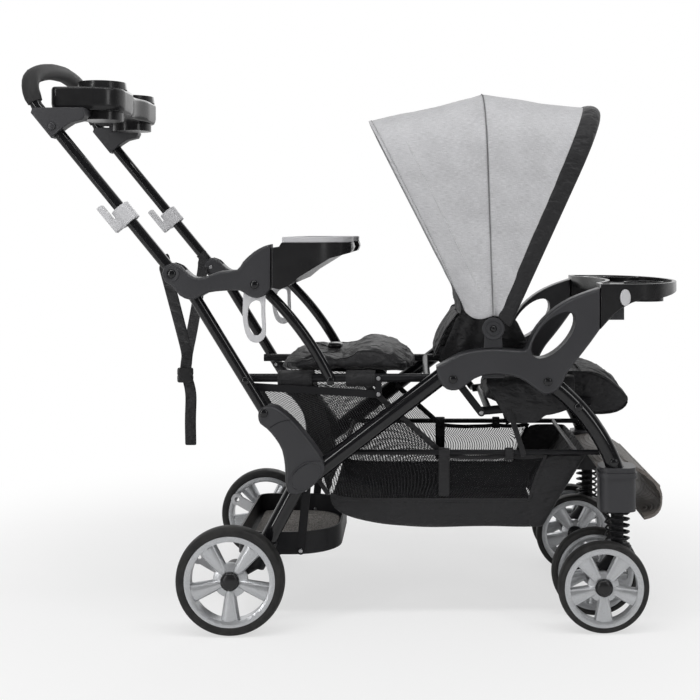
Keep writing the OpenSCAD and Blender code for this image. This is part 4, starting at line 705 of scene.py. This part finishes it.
mid_high, front_high = ray(MID_BOW, 0.451), ray(FRONT_BOW, 0.471)
rear_gore, rear_rows = gore(
    "canopy_rear_gore", ((0.198, 0.600), (0.2045, 0.585), (0.219, 0.5745), (0.236, 0.5735), (0.2545, 0.579)),
    ray(REAR_BOW + 0.5, 0.4635), mid_high, 22)
front_gore, _ = gore(
    "canopy_front_gore", ((0.2545, 0.579), (0.2585, 0.5785), (0.2635, 0.5775), (0.270, 0.5745)),
    mid_high, mid_high.lerp(front_high, 0.93), 18)
for piece, a, b, node, start, end in (
        (rear_gore, "chassis", "canopy_mid", "canopy_rear_panel", REAR_BOW, MID_BOW),
        (front_gore, "canopy_mid", "canopy_front", "canopy_front_panel", MID_BOW, FRONT_BOW)):
    fit(piece, None, heather, "grey_cloth", node)
    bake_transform(piece)
    turned_weights(piece, start, end)

sleeve_rows = []
for x, z, high, half in (
        (0.2625, 0.5765, mid_high.lerp(front_high, 0.885), 0.2195),
        (0.2635, 0.5755, ray(MID_BOW, 0.4525).lerp(ray(FRONT_BOW, 0.4725), 0.893), 0.2225),
        (0.268, 0.571, ray(FRONT_BOW + 1.2, 0.4735), 0.2235),
        (0.275, 0.565, ray(FRONT_BOW, 0.4735), 0.224),
        (0.282, 0.5605, ray(FRONT_BOW - 1.0, 0.471), 0.223),
        (0.2865, 0.559, ray(FRONT_BOW - 1.7, 0.463), 0.2205),
        (0.286, 0.561, ray(FRONT_BOW - 1.8, 0.4535), 0.2165),
        (0.281, 0.565, ray(FRONT_BOW - 1.3, 0.4475), 0.2125),
        (0.273, 0.571, ray(FRONT_BOW + 0.6, 0.446), 0.2095)):
    sleeve_rows.append(hoop(Vector((x, 0, z)), high, half))
sleeve = fit(cloth_grid("canopy_front_sleeve", sleeve_rows, 0.0016), "canopy_front", nylon, "black_cloth")


# Canopy edges: a folded hem of the same polyester over the rear bow and a narrow flat felled seam over the
# middle one, both sewn to the gores. The seam's tape is coloured darker grey than the cloth, as painted
# shade of the seam's groove.


def lifted(line, lift):
    """A line on the canopy, moved out from its cloth."""
    return [p + (p - hub).normalized() * lift + Y * (lift if p.y > 0 else -lift) for p in line]


def edge_tape(name, row, inward, width, lift):
    """A tape sewn on a line of cloth, lying towards its inward neighbours."""
    rows = []
    for p, on, to in zip(lifted(row, lift), row, inward):
        q = p + (to - on).normalized() * width
        rows.append([p, p.lerp(q, 0.5), q])
    return cloth_grid(name, rows, 0.0011)


hem = edge_tape("canopy_rear_hem", rear_rows[0], rear_rows[2], 0.0075, 0.0009)
fit(hem, "chassis", heather, "grey_cloth")
# Darker grey: painted shade along the middle seam, and also the real colour of the hem's grey thread.
seam = Finish("seam_shade_and_grey_thread", (0.2, 0.2, 0.205), {"Roughness": 0.9, "Specular IOR Level": 0.1})
felled = edge_tape("canopy_mid_seam", rear_rows[-1], rear_rows[-3], 0.0018, 0.0012)
fit(felled, "canopy_mid", seam, "grey_cloth")

# Parting lines of the side mouldings, where two shells meet, with a raised boss round each fold hub and an
# oval one on each rear knuckle. All are moulded with the shells.


def ribbon(points, sides, width, thick, count=24, levels=1, wave=None):
    """A flat band along a line of points. Its width lies along sides, one direction or one for each point."""
    line = eased_line(points, count)
    sides = eased_line([sides] * 2 if isinstance(sides, Vector) else sides, count)
    rows = []
    for i, (p, side) in enumerate(zip(line, sides)):
        row = [p + side.normalized() * width * share for share in (-0.5, -0.25, 0, 0.25, 0.5)]
        rows.append([q + wave(i, k) for k, q in enumerate(row)] if wave else row)
    return cloth_grid("band", rows, thick, levels)


def one_piece(name, parts):
    """Bands that are sewn to one another, as one mesh."""
    shape = bmesh.new()
    for part in parts:
        shape.from_mesh(part.data)
        bpy.data.objects.remove(part)
    return cast(name, shape)


PARTING = ((-0.160, 0.3742), (-0.146, 0.3828), (-0.134, 0.3868), (-0.121, 0.389))
FOLD_BOSS = ((0.0082, 0), (0.0145, 0), (0.0148, 0.0008), (0.0138, 0.0018), (0.009, 0.0018), (0.0082, 0.0012))
OVAL_LIP = ((-0.06, 0), (-0.045, 0.0013), (-0.015, 0.0017), (0.02, 0.0013), (0.04, 0))
lines = []
for word, s in SIDES:
    lines.append(ribbon(side_on(PARTING, s * 0.2371), Vector((0.4, 0, -0.9)), 0.0016, 0.0008, 16, 0))
    boss = turned("fold_hub_boss_" + word, (-0.3427, s * 0.2368, 0.6588), s, FOLD_BOSS)
    fit(boss, "chassis", charcoal, "arch_plastic")
    oval = []
    for a in circle(64):
        long, short = 0.031 * math.cos(a), 0.0212 * math.sin(a)
        way = Vector((0.766 * long - 0.643 * short, 0, 0.643 * long + 0.766 * short))
        oval.append([Vector((-0.0935, s * (0.2384 + out), 0.2852)) + way * (1 + share)
                     for share, out in OVAL_LIP])
    fit(rings_mesh("knuckle_boss_" + word, oval, True), "chassis", charcoal, "arch_plastic")
fit(one_piece("moulding_lines", lines), "chassis", black, "dark_plastic")

# Basket: a sling of coated nylon under the seats, hung between the two low rails. Floor, front and back are
# close cloth that rises a hand's width up the sides, and open knitted net fills the sides above it.


def slung(name, rows, creases, thick, held, *rests_on, stands_for=()):
    """A creased sheet of black nylon on the chassis, through rows of points."""
    sheet = cloth_grid(name, slack_rows(rows, *creases), thick)
    fit(sheet, "chassis", nylon, "black_cloth", *stands_for)


trough = []
for x, low, top in (
        (-0.052, 0.2285, 0.243), (-0.046, 0.2085, 0.236), (-0.022, 0.1945, 0.231), (0.0105, 0.1865, 0.229),
        (0.05, 0.179, 0.228), (0.08, 0.1765, 0.2285), (0.11, 0.1745, 0.228), (0.145, 0.1735, 0.2285),
        (0.18, 0.1738, 0.228), (0.22, 0.1752, 0.2285), (0.26, 0.1755, 0.228), (0.30, 0.1745, 0.229),
        (0.33, 0.174, 0.229), (0.352, 0.1765, 0.231)):
    tall = top - low
    slack = 0.0011 * math.sin(x * 95)
    half = [(0.1814, top), (0.1826 + slack, low + 0.66 * tall), (0.1824 - slack, low + 0.33 * tall),
            (0.180, low + 0.11 * tall), (0.1735, low + 0.001), (0.16, low - 0.001),
            (0.11, low - 0.0025 + slack), (0.055, low - 0.0035)]
    line = [(-y, z) for y, z in half] + [(0, low - 0.004)] + list(reversed(half))
    trough.append([Vector((x, y, z)) for y, z in line])
slung("basket_floor", trough, (0.0015, (17, 15, 30), 51), 0.0016, "hung", "seat_frame",
      stands_for=("basket",))

back_rows = []
for x, z in ((-0.118, 0.4505), (-0.107, 0.41), (-0.095, 0.365), (-0.081, 0.318), (-0.066, 0.275),
             (-0.052, 0.2285)):
    back_rows.append([Vector((x - 0.007 * (1 - (y / 0.179) ** 2) + 0.0015 * math.sin(y * 60 + z * 50), y, z))
                      for y in np.linspace(-0.1792, 0.1792, 25)])
slung("basket_back", back_rows, (0.002, (20, 14, 22), 71), 0.0014, "hung", "seat_frame")

front_rows = []
for x, z, left in ((0.352, 0.1765, 0.323), (0.366, 0.2, 0.3235), (0.386, 0.236, 0.326), (0.408, 0.27, 0.3365),
                   (0.424, 0.296, 0.3475), (0.436, 0.3145, 0.3575)):
    near = [(left, 0.1822), (0.5 * left + 0.5 * x - 0.004, 0.1832), (x - 0.008, 0.1822), (x - 0.001, 0.1775)]
    across = [(x + 0.004 * (1 - (y / 0.17) ** 2), y) for y in np.linspace(-0.165, 0.165, 13)]
    line = [(a, -b) for a, b in near] + across + list(reversed(near))
    front_rows.append([Vector((a, b, z)) for a, b in line])
slung("basket_front", front_rows, (0.0018, (24, 15, 24), 61), 0.0014, "hung", "seat_frame")

net = Finish("knitted_net", (0.014, 0.014, 0.015), {"Roughness": 0.8, "Specular IOR Level": 0.1})
MESH = math.pi / 0.0052
rise, run = (net.axis(net.place(read="UV"), letter) for letter in "XY")
hole = net.math("ABSOLUTE", net.math("COSINE", (rise + run) * MESH) * net.math("COSINE", (rise - run) * MESH))
net.paint(Alpha=hole.ramp(0.06, 0.62, (1.0, 0.14)),
          Base_Color=net.mix(hole.ramp(0.0, 0.3), (0.03, 0.03, 0.032), (0.01, 0.01, 0.011)))


def at(x, points):
    """Height at x on a bent line."""
    return float(np.interp(x, [p[0] for p in points], [p[1] for p in points]))


def across_at(x, s, pairs):
    """Points given as seen from the front, at one place along, on one side."""
    return [Vector((x, s * y, z)) for y, z in pairs]


NET_LOW = ((-0.190, 0.4445), (-0.092, 0.29), (-0.056, 0.238), (-0.05, 0.229), (0.0105, 0.227),
           (0.325, 0.2265), (0.357, 0.3125))
NET_HIGH = ((-0.190, 0.4465), (0.012, 0.4495), (0.160, 0.3165), (0.168, 0.3135), (0.21, 0.3105),
            (0.26, 0.3115), (0.285, 0.3135), (0.32, 0.311), (0.357, 0.3145))
UPPER_HEM = ((0.168, 0.311), (0.158, 0.3185), (0.12, 0.3525), (0.07, 0.3975), (0.012, 0.449))
REAR_HEM = ((-0.189, 0.4455), (-0.140, 0.366), (-0.092, 0.291), (-0.056, 0.238))
LOW_HEM = ((-0.052, 0.240), (-0.03, 0.232), (0.0105, 0.229), (0.1, 0.2283), (0.2, 0.2285), (0.324, 0.2285))
FRONT_HEM = ((0.3245, 0.227), (0.3285, 0.24), (0.340, 0.275), (0.3575, 0.315))
ROUND_RAIL = ((0.1826, 0.235), (0.1834, 0.275), (0.1868, 0.304), (0.1953, 0.3125), (0.1965, 0.3205),
              (0.1925, 0.327), (0.1862, 0.3272), (0.1818, 0.3215), (0.1812, 0.31), (0.1808, 0.286))
TIE = ((0.286, 0.1795, 0.414), (0.2875, 0.1815, 0.398), (0.297, 0.188, 0.368), (0.309, 0.1952, 0.33),
       (0.3125, 0.1968, 0.3185), (0.3135, 0.191, 0.3125))
tapes, webs = [], []
for word, s in SIDES:
    rows = []
    for x in np.linspace(-0.190, 0.357, 56):
        low, high = at(x, NET_LOW), at(x, NET_HIGH)
        swing = [0.0026 * math.sin(math.pi * k / 9) * math.sin(x * 21 + k * 0.5) for k in range(10)]
        rows.append([Vector((x, s * (0.1806 + swing[k]), low + (high - low) * k / 9)) for k in range(10)])
    side_net = fit(cloth_grid("basket_net_" + word, rows, 0.0005, 0), "chassis", net, "black_cloth")
    tapes += [
        ribbon(side_on(UPPER_HEM, s * 0.1812), Vector((0.68, 0, 0.73)), 0.011, 0.0014, 60,
               wave=lambda i, k: Y * (s * 0.0022 * math.sin(i * 1.25) * (1 - k / 4))),
        ribbon(side_on(REAR_HEM, s * 0.1812), Vector((0.84, 0, 0.54)), 0.009, 0.0014),
        ribbon(side_on(LOW_HEM, s * 0.1826), Z, 0.0075, 0.0012, 30),
        ribbon(side_on([(x, at(x, NET_HIGH) - 0.002) for x in np.linspace(0.166, 0.357, 9)], s * 0.1815),
               Z, 0.0085, 0.0012, 30),
        ribbon(side_on(FRONT_HEM, s * 0.1828), X, 0.007, 0.0012)]
    webs += [
        ribbon(across_at(0.1635, s, ROUND_RAIL), X, 0.021, 0.0017, 44),
        ribbon(across_at(0.2865, s, ROUND_RAIL[2:9]), X, 0.016, 0.0024, 30),
        ribbon([Vector((x, s * y, z)) for x, y, z in TIE], Vector((0.93, 0, 0.36)), 0.0105, 0.0017, 30)]
fit(one_piece("basket_binding", tapes), "chassis", nylon, "black_cloth")
fit(one_piece("basket_webbing", webs), "chassis", nylon, "webbing")

# Seats: foam cushions in black nylon covers on the two rail frames. The covers are sewn through along a few
# lines, so that the cloth stands up between them, and sleeves of the same cloth wrap the rails.


def plumped(node, name, sewn):
    """A cushion in the room of its solid, blown up between its sewn lines by a short cloth run."""
    cap, frames = 0.009, 20
    pad = recast(node, name, 0.004, 0.0052, 6)
    start = np.empty(len(pad.data.vertices) * 3)
    pad.data.vertices.foreach_get("co", start)
    start = start.reshape(-1, 3)
    held = pad.vertex_groups.new(name="sewn")
    for i, p in enumerate(start):
        weight = sewn(*p)
        if weight > 0.01:
            held.add([i], min(weight, 1.0), "REPLACE")
    blow = pad.modifiers.new("plump", "CLOTH")
    cloth = blow.settings
    cloth.quality, cloth.mass, cloth.air_damping = 5, 0.25, 4
    cloth.tension_stiffness = cloth.compression_stiffness = 9
    cloth.shear_stiffness, cloth.bending_stiffness = 4, 0.25
    cloth.use_pressure, cloth.uniform_pressure_force = True, 4
    cloth.vertex_group_mass, cloth.pin_stiffness = "sewn", 0.8
    cloth.effector_weights.gravity = 0
    blow.point_cache.frame_start, blow.point_cache.frame_end = 1, frames
    for step in range(1, frames + 1):
        scene.frame_set(step)
    settle(pad)
    scene.frame_set(1)
    moved = np.empty(len(pad.data.vertices) * 3)
    pad.data.vertices.foreach_get("co", moved)
    shift = moved.reshape(-1, 3) - start
    reach = np.linalg.norm(shift, axis=1, keepdims=True)
    shift *= np.minimum(1, cap / np.maximum(reach, 1e-9))
    pad.data.vertices.foreach_set("co", (start + shift).ravel())
    smooth = pad.modifiers.new("smooth", "SUBSURF")
    smooth.levels = smooth.render_levels = 1
    settle(pad)
    fit(pad, body_of[node], nylon, "black_cloth", node)
    return pad


def rumpled(piece, depth, stretch, seed):
    """Presses long soft creases into a piece of slack cloth."""
    shape = bmesh.new()
    shape.from_mesh(piece.data)
    shape.normal_update()
    for v in shape.verts:
        v.co += v.normal * depth * ridge(v.co, stretch, seed)
    shape.to_mesh(piece.data)
    shape.free()


def near_line(value, lines, width=0.0035):
    """How firmly a point is held by the nearest of the sewn lines."""
    return max(max(0.0, 1 - abs(value - line) / width) for line in lines)


bench = plumped("rear_seat_pad", "rear_bench_cushion",
                lambda x, y, z: max(near_line(x, (-0.035, 0.012)), near_line(abs(y), (0.062, 0.176))))
front = plumped("front_seat_pad", "front_seat_cushion",
                lambda x, y, z: max(near_line(x, (0.325, 0.43)), near_line(abs(y), (0.055, 0.15))))
seat_back = plumped("seat_back", "front_backrest_cushion",
                    lambda x, y, z: max(near_line(z, (0.56, 0.64, 0.74)), near_line(abs(y), (0.06, 0.13))))
rumpled(bench, 0.0035, (34, 13, 20), 3)
rumpled(front, 0.003, (30, 16, 22), 11)
rumpled(seat_back, 0.003, (20, 16, 26), 23)

nose_rows = []
for x, z in ((0.428, 0.4715), (0.456, 0.4692), (0.482, 0.4565), (0.505, 0.438), (0.5235, 0.4195),
             (0.5195, 0.405), (0.5, 0.393), (0.472, 0.3885), (0.447, 0.3905)):
    nose_rows.append([Vector((x - 0.004 * (abs(y) / 0.158) ** 4, y, z - 0.0025 * (abs(y) / 0.158) ** 6))
                      for y in np.linspace(-0.1585, 0.1585, 37)])
slung("front_seat_nose", nose_rows, (0.0034, (30, 17, 30), 5), 0.0018, "draped", "front_seat_cushion")
CALF_OVER = ((0.40, 0.470), (0.428, 0.4698), (0.456, 0.4672), (0.482, 0.4542), (0.503, 0.436),
             (0.5165, 0.4205))
CALF_UNDER = ((0.40, 0.3965), (0.428, 0.3925), (0.456, 0.3905), (0.482, 0.391), (0.503, 0.3965),
              (0.5165, 0.4115))
for word, s in SIDES:
    rows = [[a.lerp(b, k / 9) + Y * s * (0.1535 + 0.0045 * math.sin(math.pi * k / 9)) for k in range(10)]
            for a, b in zip(eased_line(side_on(CALF_OVER), 18), eased_line(side_on(CALF_UNDER), 18))]
    slung("front_seat_gusset_" + word, rows, (0.0018, (30, 10, 40), 91 + s), 0.0015, "stretched",
          "front_seat_cushion")

flap_rows = []
for x, z in ((0.147, 0.494), (0.1515, 0.509), (0.158, 0.526), (0.168, 0.545), (0.180, 0.5625),
             (0.192, 0.580)):
    flap_rows.append([Vector((x + 0.0028 * math.sin(y * 47 + z * 21) + 0.0016 * math.sin(y * 103), y, z))
                      for y in np.linspace(-0.147, 0.147, 33)])
flap = cloth_grid("rear_backrest_cloth", slack_rows(flap_rows, 0.0026, (26, 17, 24), 41), 0.002)
fit(flap, None, nylon, "black_cloth", "rear_backrest")
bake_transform(flap)

SLEEVE_SPANS = ((-0.152, -0.086), (-0.023, 0.033))
SLEEVE = ((0.158, 0.4715), (0.172, 0.4718), (0.184, 0.4702), (0.1918, 0.4655), (0.1936, 0.4588),
          (0.1882, 0.449), (0.181, 0.4437), (0.1742, 0.4462), (0.1718, 0.4545), (0.166, 0.464))
sleeves = []
for _, s in SIDES:
    for a, b in SLEEVE_SPANS:
        line = eased_line(across_at(0, s, SLEEVE), 26)
        rows = []
        for k, x in enumerate(np.linspace(a, b, 15)):
            pull = 0.0011 * math.sin(k * 1.9) + 0.0008 * math.sin(k * 0.8 + s)
            rows.append([p + Vector((x, 0, -pull * math.sin(math.pi * i / 25))) for i, p in enumerate(line)])
        sleeves.append(cloth_grid("sleeve", rows, 0.0015))
fit(one_piece("bench_sleeves", sleeves), "chassis", nylon, "black_cloth")

HEM = ((0.243, 0.452), (0.262, 0.42), (0.279, 0.386), (0.285, 0.3735), (0.31, 0.3715), (0.342, 0.3745),
       (0.3545, 0.388), (0.38, 0.393), (0.412, 0.402))
SKIRT = ((0.150, 0.4625), (0.168, 0.4622), (0.1775, 0.456), (0.1812, 0.444), (0.1822, 0.425), (0.1815, 0.405),
         (0.180, 0.39), (0.177, 0.372))
for word, s in SIDES:
    rows = []
    for k, x in enumerate(np.linspace(0.244, 0.412, 26)):
        fold, hem = 0.0016 * math.sin(k * 1.1 + s), at(x, HEM)
        rows.append([])
        for i, (y, z) in enumerate(SKIRT):
            lowest = hem + 0.0005 * (len(SKIRT) - 1 - i)
            rows[k].append(Vector((x, s * (y + fold * math.sin(i * 1.3)), max(z, lowest))))
    slung("front_seat_skirt_" + word, rows, (0.0028, (26, 10, 42), 17 + s), 0.0015, "hung",
          "front_seat_cushion")

# Seat sides: a loose wing of nylon between each armrest and the front seat, sewn to the seat's edge and
# gathered under the canopy's hub.
for word, s in SIDES:
    rows = []
    for k, share in enumerate(np.linspace(0, 1, 22)):
        high = Vector((0.188 + 0.112 * share, s * 0.1865,
                       0.576 + 0.012 * math.sin(math.pi * share) - 0.006 * share ** 3))
        low = Vector((0.151 + 0.199 * share, s * 0.166, 0.488 - 0.015 * share))
        row = []
        for v in (i / 11 for i in range(12)):
            fold = 0.0034 * math.sin(k * 1.35 + 2.2 * v) * (0.35 + 0.65 * v)
            row.append(high.lerp(low, v) + Y * (s * (0.006 * math.sin(math.pi * v) + fold - 0.003)))
        rows.append(row)
    slung("front_seat_wing_" + word, rows, (0.003, (30, 10, 24), 31 + s), 0.0016, "gathered", "canopy_mounts",
          "front_seat_cushion")

# Canopy hubs: a moulded disc over each pivot, ribbed once round, with a dark domed bolt in the middle
# that holds the three bows together.
HUB_DISC = ((1e-4, 0.0), (0.0206, 0.0), (0.021, 0.0035), (0.0198, 0.0052), (0.0152, 0.0056), (0.0146, 0.0046),
            (0.0118, 0.0046), (0.0112, 0.0058), (0.0074, 0.006), (0.0068, 0.0048), (1e-4, 0.0048))
HUB_BOLT = ((1e-4, 0.004), (0.0058, 0.004), (0.0058, 0.0062), (0.0046, 0.0078), (0.0026, 0.0086),
            (1e-4, 0.0089))
for word, s in SIDES:
    pivot = (0.254, s * 0.2226, 0.5565)
    fit(turned("canopy_hub_" + word, pivot, s, HUB_DISC), "chassis", charcoal, "arch_plastic")
    fit(turned("canopy_hub_bolt_" + word, pivot, s, HUB_BOLT, 32), "chassis", enamel, "bolt_steel")

# Lap belt of the rear bench: two webbing ends that lie on the pad and a moulded clip that joins them.
# The pad's side seams are covered with a flat piping.


def skin(piece):
    """The faces of a piece, ready to be met by a line."""
    mesh = piece.data
    return bvhtree.BVHTree.FromPolygons([v.co for v in mesh.vertices], [f.vertices for f in mesh.polygons])


top_of_bench = skin(bench)


def laid_on(x, y, lift):
    """The point on the bench cushion below a place in plan, lifted by the thickness of what lies there."""
    hit = top_of_bench.ray_cast(Vector((x, y, 0.7)), -Z)[0]
    return (hit or Vector((x, y, 0.486))) + Z * lift


BELT = ((-0.128, 0.166), (-0.112, 0.14), (-0.085, 0.1), (-0.062, 0.05), (-0.055, 0.022))
belt = []
for _, s in SIDES:
    line = eased_line([Vector((x, s * y, 0)) for x, y in BELT], 26)
    rows = [[laid_on(p.x + 0.0118 * k, p.y + s * 0.006 * k, 0.0016) for k in (-1, -0.5, 0, 0.5, 1)]
            for p in line]
    belt.append(cloth_grid("web", rows, 0.0018))
fit(one_piece("lap_belt", belt), "chassis", nylon, "webbing")
clip_rings = []
for k in range(9):
    end = abs(k / 4 - 1)
    c = laid_on(-0.055, -0.03 + 0.06 * k / 8, 0.0075)
    half, high = 0.0155 * (1 - 0.22 * end ** 2), 0.0062 * (1 - 0.35 * end ** 3)
    clip_rings.append([c + X * (half * blunt(math.cos(a), 0.5)) + Z * (high * blunt(math.sin(a), 0.6))
                       for a in circle(20)])
fit(rings_mesh("lap_belt_clip", clip_rings), "chassis", polished, "dark_plastic")

piping = []
for y in (-0.163, 0.163):
    rows = [[laid_on(x, y + w, 0.0012) for w in (-0.0055, -0.003, 0, 0.003, 0.0055)]
            for x in np.linspace(-0.138, 0.092, 60)]
    piping.append(cloth_grid("piping", rows, 0.0016))
fit(one_piece("bench_piping", piping), "chassis", nylon, "black_cloth")

# Stitches: pale thread down the canopy's sides, grey thread along its hem and black on the rail sleeves,
# each a row of short runs of lockstitch.
stitch_row, stitch_inputs, made = repeater(
    "stitch_row", {"Spacing": "Float", "Length": "Float", "Thread": "Float"},
    {"curve": "GeometryNodeMeshToCurve", "even": "GeometryNodeResampleCurve",
     "tangent": "GeometryNodeInputTangent", "align": "FunctionNodeAlignRotationToVector",
     "stitch": "GeometryNodeMeshCylinder"},
    (("even", "mode", "LENGTH"), ("align", "axis", "Z")),
    (("given", "Geometry", "curve", 0), ("curve", 0, "even", 0), ("given", "Spacing", "even", "Length"),
     ("tangent", 0, "align", "Vector"), ("given", "Thread", "stitch", "Radius"),
     ("given", "Length", "stitch", "Depth"), ("even", 0, "copies", "Points"),
     ("stitch", 0, "copies", "Instance"), ("align", 0, "copies", "Rotation")))
made["stitch"].inputs["Vertices"].default_value = 6
thread = Finish("pale_thread", (0.72, 0.72, 0.73), {"Roughness": 0.7, "Specular IOR Level": 0.2})
dark_thread = Finish("black_thread", (0.05, 0.05, 0.052), {"Roughness": 0.7, "Specular IOR Level": 0.2})


def stitches(name, lines, body, spacing, length, sewn_with):
    """Rows of stitches along lines of points that lie on the cloth."""
    points, edges = [], []
    for line in lines:
        edges += [(len(points) + i, len(points) + i + 1) for i in range(len(line) - 1)]
        points += line
    piece = grown(drawn(name, points, edges, []), stitch_row, stitch_inputs, Spacing=spacing, Length=length,
                  Thread=0.0004, Finish=sewn_with.material)
    return fit(piece, body, None, "black_cloth")


hem_line = [p + (n - p).normalized() * 0.0062 for p, n in zip(rear_rows[0], rear_rows[2])]
stitches("canopy_hem_stitches", [lifted(hem_line, 0.0019)], "chassis", 0.0046, 0.003, seam)
WELT = ((0.0936, 0.9047), (0.14, 0.81), (0.19, 0.707), (0.2296, 0.6252))
side_of_gore = skin(rear_gore)
welts = []
for _, s in SIDES:
    hits = [side_of_gore.ray_cast(q + Y * s * 0.4, -Y * s)[0] for q in eased_line(side_on(WELT), 50)]
    welts.append([h + Y * s * 0.0004 for h in hits if h])
welt = stitches("canopy_side_stitches", welts, None, 0.0042, 0.0034, thread)
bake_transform(welt)
turned_weights(welt, REAR_BOW, MID_BOW)
SLEEVE_SEAM = ((0.1735, 0.4728), (0.1845, 0.4712), (0.1926, 0.4662), (0.1946, 0.4588), (0.189, 0.4482))
sewn_ends = [eased_line(across_at(x, s, SLEEVE_SEAM), 14) for _, s in SIDES for a, b in SLEEVE_SPANS
             for x in (a + 0.003, a + 0.0065, b - 0.0065, b - 0.003)]
stitches("sleeve_stitches", sewn_ends, "chassis", 0.004, 0.0026, dark_thread)

# Safety strap: 24 mm webbing sewn to tabs inside both handle tubes, the two arms joined above a moulded
# buckle, with the free end hanging below it.
WEB_WIDE, WEB_THICK = 0.0235, 0.0018
ARM = ((-0.3605, 0.190, 0.654), (-0.359, 0.122, 0.592), (-0.358, 0.052, 0.530), (-0.3585, 0.0042, 0.488),
       (-0.360, 0.0013, 0.470), (-0.362, 0.0013, 0.452))
FREE_END = ((-0.362, 0, 0.442), (-0.356, 0.0022, 0.428), (-0.351, 0.001, 0.40), (-0.3515, -0.0015, 0.35),
            (-0.351, 0, 0.2995))
along_tube, out_of_tube = Vector((0.633, 0, -0.774)), Vector((0.774, 0, 0.633))
web_parts = []
for _, s in SIDES:
    core = Vector((-0.362, s * 0.215, 0.683))
    tab = [core - along_tube * 0.008 - Y * (s * 0.0136), core - along_tube * 0.001 - Y * (s * 0.0138),
           core - Y * (s * 0.0144) - Z * 0.012]
    web_parts.append(ribbon(tab + [Vector((x, s * y, z)) for x, y, z in ARM],
                            [out_of_tube] * 2 + [Vector((0.95, 0, 0.3))] + [X] * 6, WEB_WIDE, WEB_THICK, 60))
web_parts.append(ribbon(FREE_END, X, WEB_WIDE, WEB_THICK, 40))
strap = fit(one_piece("tether_webbing", web_parts), None, nylon, "webbing", "tether_strap")
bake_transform(strap)
buckle_rings = []
for z, wide in ((0.4284, 0.0130), (0.4292, 0.0152), (0.432, 0.0162), (0.4405, 0.0164), (0.4415, 0.0158),
                (0.4445, 0.0158), (0.4455, 0.0164), (0.455, 0.0162), (0.4578, 0.0152), (0.4586, 0.0130)):
    buckle_rings.append([(-0.3622 + wide * blunt(math.cos(a), 0.35), 0.0052 * blunt(math.sin(a), 0.5), z)
                         for a in circle(28)])
buckle = rings_mesh("tether_buckle_made", buckle_rings)
buckle.data.set_sharp_from_angle(angle=math.radians(50))
fit(buckle, "chassis", polished, "dark_plastic", "tether_buckle")
